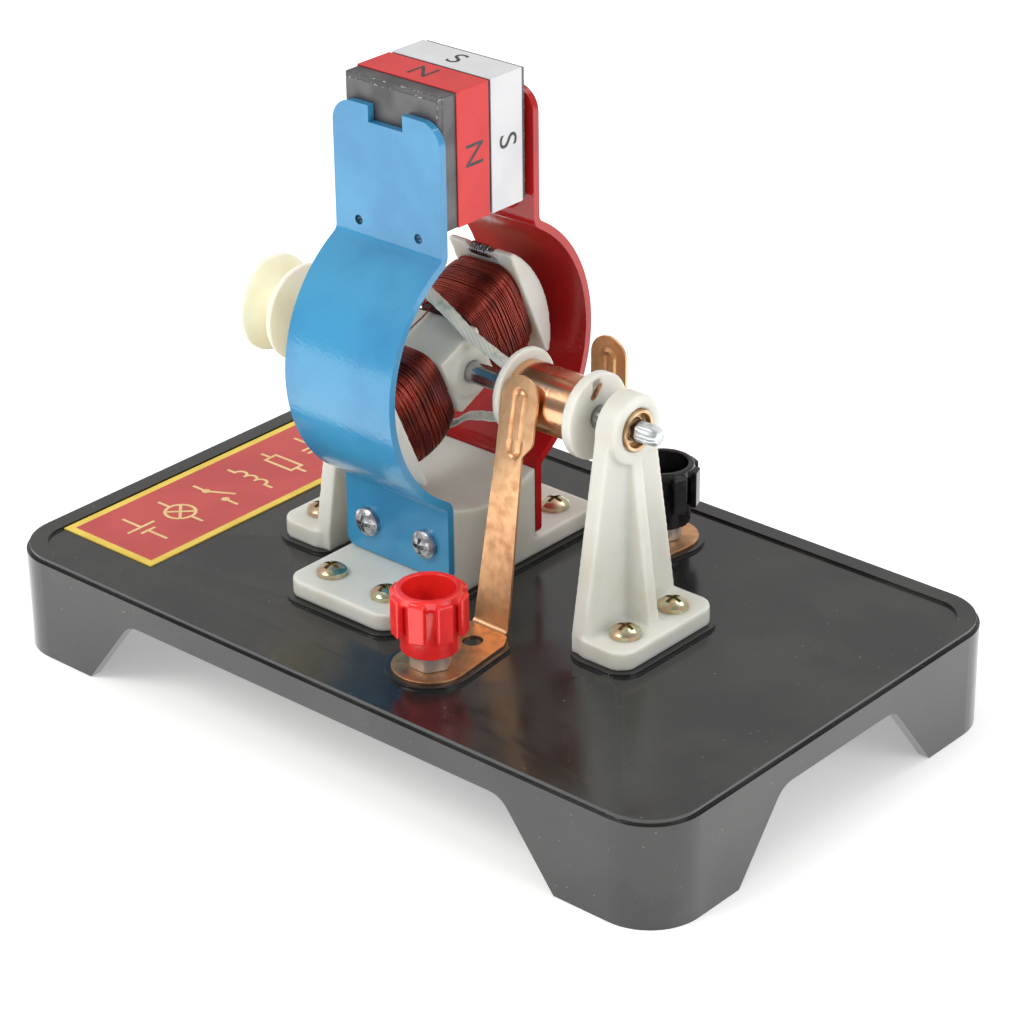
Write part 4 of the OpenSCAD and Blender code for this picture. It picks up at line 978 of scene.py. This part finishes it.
def fluted_shaft():
    """The shaft as a ring drawn along it; a station is a place, a radius and whether it is fluted."""
    low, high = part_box("shaft")
    bm = bmesh.new()
    bmesh.ops.create_circle(bm, cap_ends=False, segments=72, radius=1.6 * mm)
    bmesh.ops.rotate(bm, verts=bm.verts, cent=(0, 0, 0), matrix=Matrix.Rotation(pi / 2, 3, "Y"))
    bmesh.ops.translate(bm, verts=bm.verts, vec=(low.x, 0, axis_z * mm))
    ring = bm.edges[:]
    stations = [(low.x + 0.4 * mm, 2.0, 0), (high.x - 4.2 * mm, 2.0, 0), (high.x - 3.7 * mm, 1.9, 1),
                (high.x - 1.0 * mm, 1.85, 1), (high.x - 0.1 * mm, 1.35, 1), (high.x, 1.2, 0)]
    for x, r, fluted in stations:
        drawn_out = bmesh.ops.extrude_edge_only(bm, edges=ring)
        ring = new_parts(drawn_out, bmesh.types.BMEdge)
        for v in new_parts(drawn_out):
            a = atan2(v.co.y, v.co.z - axis_z * mm)
            dent = flute_depth * max(0, cos(flutes * a)) ** 3 if fluted else 0
            v.co = Vector((x, (r - dent) * mm * sin(a), (axis_z + (r - dent) * cos(a)) * mm))
    bmesh.ops.holes_fill(bm, edges=[e for e in bm.edges if e.is_boundary], sides=0)
    bmesh.ops.recalc_face_normals(bm, faces=bm.faces)
    for f in bm.faces:
        f.material_index = 1 if f.calc_center_median().x > high.x - 4 * mm else 0
    piece(bm, "fluted_shaft", [shaft_steel, white_zinc], "rotor", ["shaft"], sharp=40)

fluted_shaft()

# %% [markdown]
# ## Marks on the magnets
# The magnets carry one generic letter for each pole, on the end and on top. The letters are
# text turned into a mesh, thin as ink, and turned to read as on the real papers.

# %% Letters
letter_height, ink_thickness, ink_lift, ink_sunk = 6.4 * mm, 0.00001, 0.02 * mm, 0.03 * mm

def letter(name, sign, place, turn):
    """A letter as ink: lying on a plane whose frame is turn, centred at place."""
    text = bpy.data.curves.new(name, "FONT")
    text.body = sign
    text.size = letter_height
    text.extrude = ink_thickness
    text.align_x = "CENTER"
    text.align_y = "CENTER"
    bm = bmesh_of(text)
    bmesh.ops.transform(bm, verts=bm.verts, matrix=Matrix.Translation(place) @ turn.to_4x4())
    piece(bm, name, black_ink, "magnets", (), sharp=30)

red_low, red_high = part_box("north_paper")
white_low, white_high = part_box("south_paper")
mid_x, mid_z = (red_low.x + red_high.x) / 2, (red_low.z + red_high.z) / 2
for sign, low, high in (("N", red_low, red_high), ("S", white_low, white_high)):
    mid_y = (low.y + high.y) / 2
    letter("end_letter_" + sign, sign, (high.x + ink_lift, mid_y, mid_z),
           Matrix(((0, 0, 1), (0, 1, 0), (-1, 0, 0))))
    letter("far_letter_" + sign, sign, (low.x - ink_lift, mid_y, mid_z),
           Matrix(((0, 0, -1), (0, 1, 0), (1, 0, 0))))
    letter("top_letter_" + sign, sign, (mid_x, mid_y, high.z - ink_sunk), Matrix.Identity(3))

# %% [markdown]
# ## The label on the base
# The label is a printed sheet: a yellow border round a red field. The real one carries the name
# of the thing; this one carries plain signs of the kind drawn in a circuit, in the same size
# and place: a cell, a coil, a switch and so on.

# %% Label with its border
border_width, line_width, line_thickness = 2.2 * mm, 0.62, 0.02
sign_pitch, line_step = 9.4, 0.002

def label():
    """The label's solid, with its top face inset for the border."""
    bm = merged_copy("deck_label")
    top = max(bm.faces, key=lambda f: f.calc_center_median().z)
    for f in bm.faces:
        f.material_index = 1
    bmesh.ops.inset_region(bm, faces=[top], thickness=border_width, depth=0)
    top.material_index = 0
    piece(bm, "label_sheet", [label_red, label_yellow], "base", ["deck_label"])

def stroke(bm, a, b, level):
    """A printed line from a to b, a long thin box that runs a little past both ends."""
    a, b = Vector((*a, level)), Vector((*b, level))
    run = b - a
    place = Matrix.Translation((a + b) / 2) @ Matrix.Rotation(atan2(run.y, run.x), 4, "Z")
    size = Matrix.Diagonal((run.length + line_width * 0.8, line_width, line_thickness, 1))
    bmesh.ops.create_cube(bm, size=1, matrix=place @ size)

def ring(x, y, r, start=0.0, end=2 * pi, n=20):
    """Strokes round an arc."""
    p = [(x + r * cos(start + (end - start) * i / n), y + r * sin(start + (end - start) * i / n))
         for i in range(n + 1)]
    return list(zip(p, p[1:]))

# Each sign is drawn in a box 12 wide, across the label, and 7 along it.
signs = {
    "cell": [((-6, 0), (-1, 0)), ((-1, -3.2), (-1, 3.2)), ((1, -1.6), (1, 1.6)), ((1, 0), (6, 0))],
    "lamp": ring(0, 0, 3) + [((-6, 0), (-3, 0)), ((3, 0), (6, 0)), ((-2.1, -2.1), (2.1, 2.1)),
                             ((-2.1, 2.1), (2.1, -2.1))],
    "switch": [((-6, 0), (-2.6, 0)), ((-2.6, 0), (2.4, 2.8)), ((2.8, 0), (6, 0))] + ring(-2.6, 0, 0.5, n=8)
              + ring(2.8, 0, 0.5, n=8),
    "coil": [((-6, 0), (-4.2, 0)), ((4.2, 0), (6, 0))] + ring(-2.8, 0, 1.4, pi, 0, 10)
            + ring(0, 0, 1.4, pi, 0, 10) + ring(2.8, 0, 1.4, pi, 0, 10),
    "resistor": [((-6, 0), (-3.6, 0)), ((3.6, 0), (6, 0)), ((-3.6, -1.5), (3.6, -1.5)),
                 ((-3.6, 1.5), (3.6, 1.5)), ((-3.6, -1.5), (-3.6, 1.5)), ((3.6, -1.5), (3.6, 1.5))],
    "plates": [((-6, 0), (-0.8, 0)), ((-0.8, -3), (-0.8, 3)), ((0.8, -3), (0.8, 3)), ((0.8, 0), (6, 0))],
    "magnet": ring(1.0, 0, 2.9, pi / 2, -pi / 2, 12)
              + [((1.0, 2.9), (-4.6, 2.9)), ((1.0, -2.9), (-4.6, -2.9)), ((-2.6, 2.2), (-2.6, 3.5)),
                 ((-2.6, -2.2), (-2.6, -3.5))],
}

def label_signs():
    """All the signs in a row; each line lies a hair above the last, so that no two faces meet."""
    low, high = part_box("deck_label")
    middle = (low + high) / 2
    bm = bmesh.new()
    for i, lines in enumerate(signs.values()):
        made = len(bm.verts)
        for k, (a, b) in enumerate(lines):
            stroke(bm, a, b, line_step * k)
        bm.verts.ensure_lookup_table()
        shift = (i - (len(signs) - 1) / 2) * sign_pitch
        bmesh.ops.translate(bm, verts=bm.verts[made:], vec=(0, shift, 0))
    on_label = Matrix.Translation((middle.x, middle.y, high.z + ink_thickness))
    bmesh.ops.transform(bm, verts=bm.verts, matrix=on_label @ Matrix.Scale(mm, 4))
    piece(bm, "label_signs", label_cream, "base", (), sharp=30)

label_signs()
label()

# %% [markdown]
# ## Floor
# The motor stands on a plain pale sheet. It takes the object's shadow, and is not part of it.
# The sheet glows a little, more towards the motor than towards the camera, so that the sides
# of the base and the lower faces of the poles reflect a bright table.

# %% Floor
def floor():
    """The sheet: a plain diffuse surface plus a glow, weaker where the camera looks at it."""
    bm = bmesh.new()
    bmesh.ops.create_grid(bm, x_segments=1, y_segments=1, size=3)
    mesh = bpy.data.meshes.new("floor")
    bm.to_mesh(mesh)
    bm.free()
    m = finish("floor_sheet", (0.93, 0.93, 0.93), 0.9)
    m.node_tree.nodes.remove(shader_of(m))
    lit = add(m, "BsdfDiffuse", {"Color": (0.92, 0.92, 0.92, 1)})
    path = add(m, "LightPath")
    level = add(m, "MapRange", {"To Min": 0.80, "To Max": 0.34})
    glow = add(m, "Emission")
    both = add(m, "AddShader")
    join(m, (path.outputs["Is Camera Ray"], level.inputs["Value"]),
         (level.outputs["Result"], glow.inputs["Strength"]),
         (lit.outputs[0], both.inputs[0]),
         (glow.outputs[0], both.inputs[1]),
         (both.outputs[0], m.node_tree.nodes["Material Output"].inputs["Surface"]))
    mesh.materials.append(m)
    o = bpy.data.objects.new("floor", mesh)
    show(o)

floor()
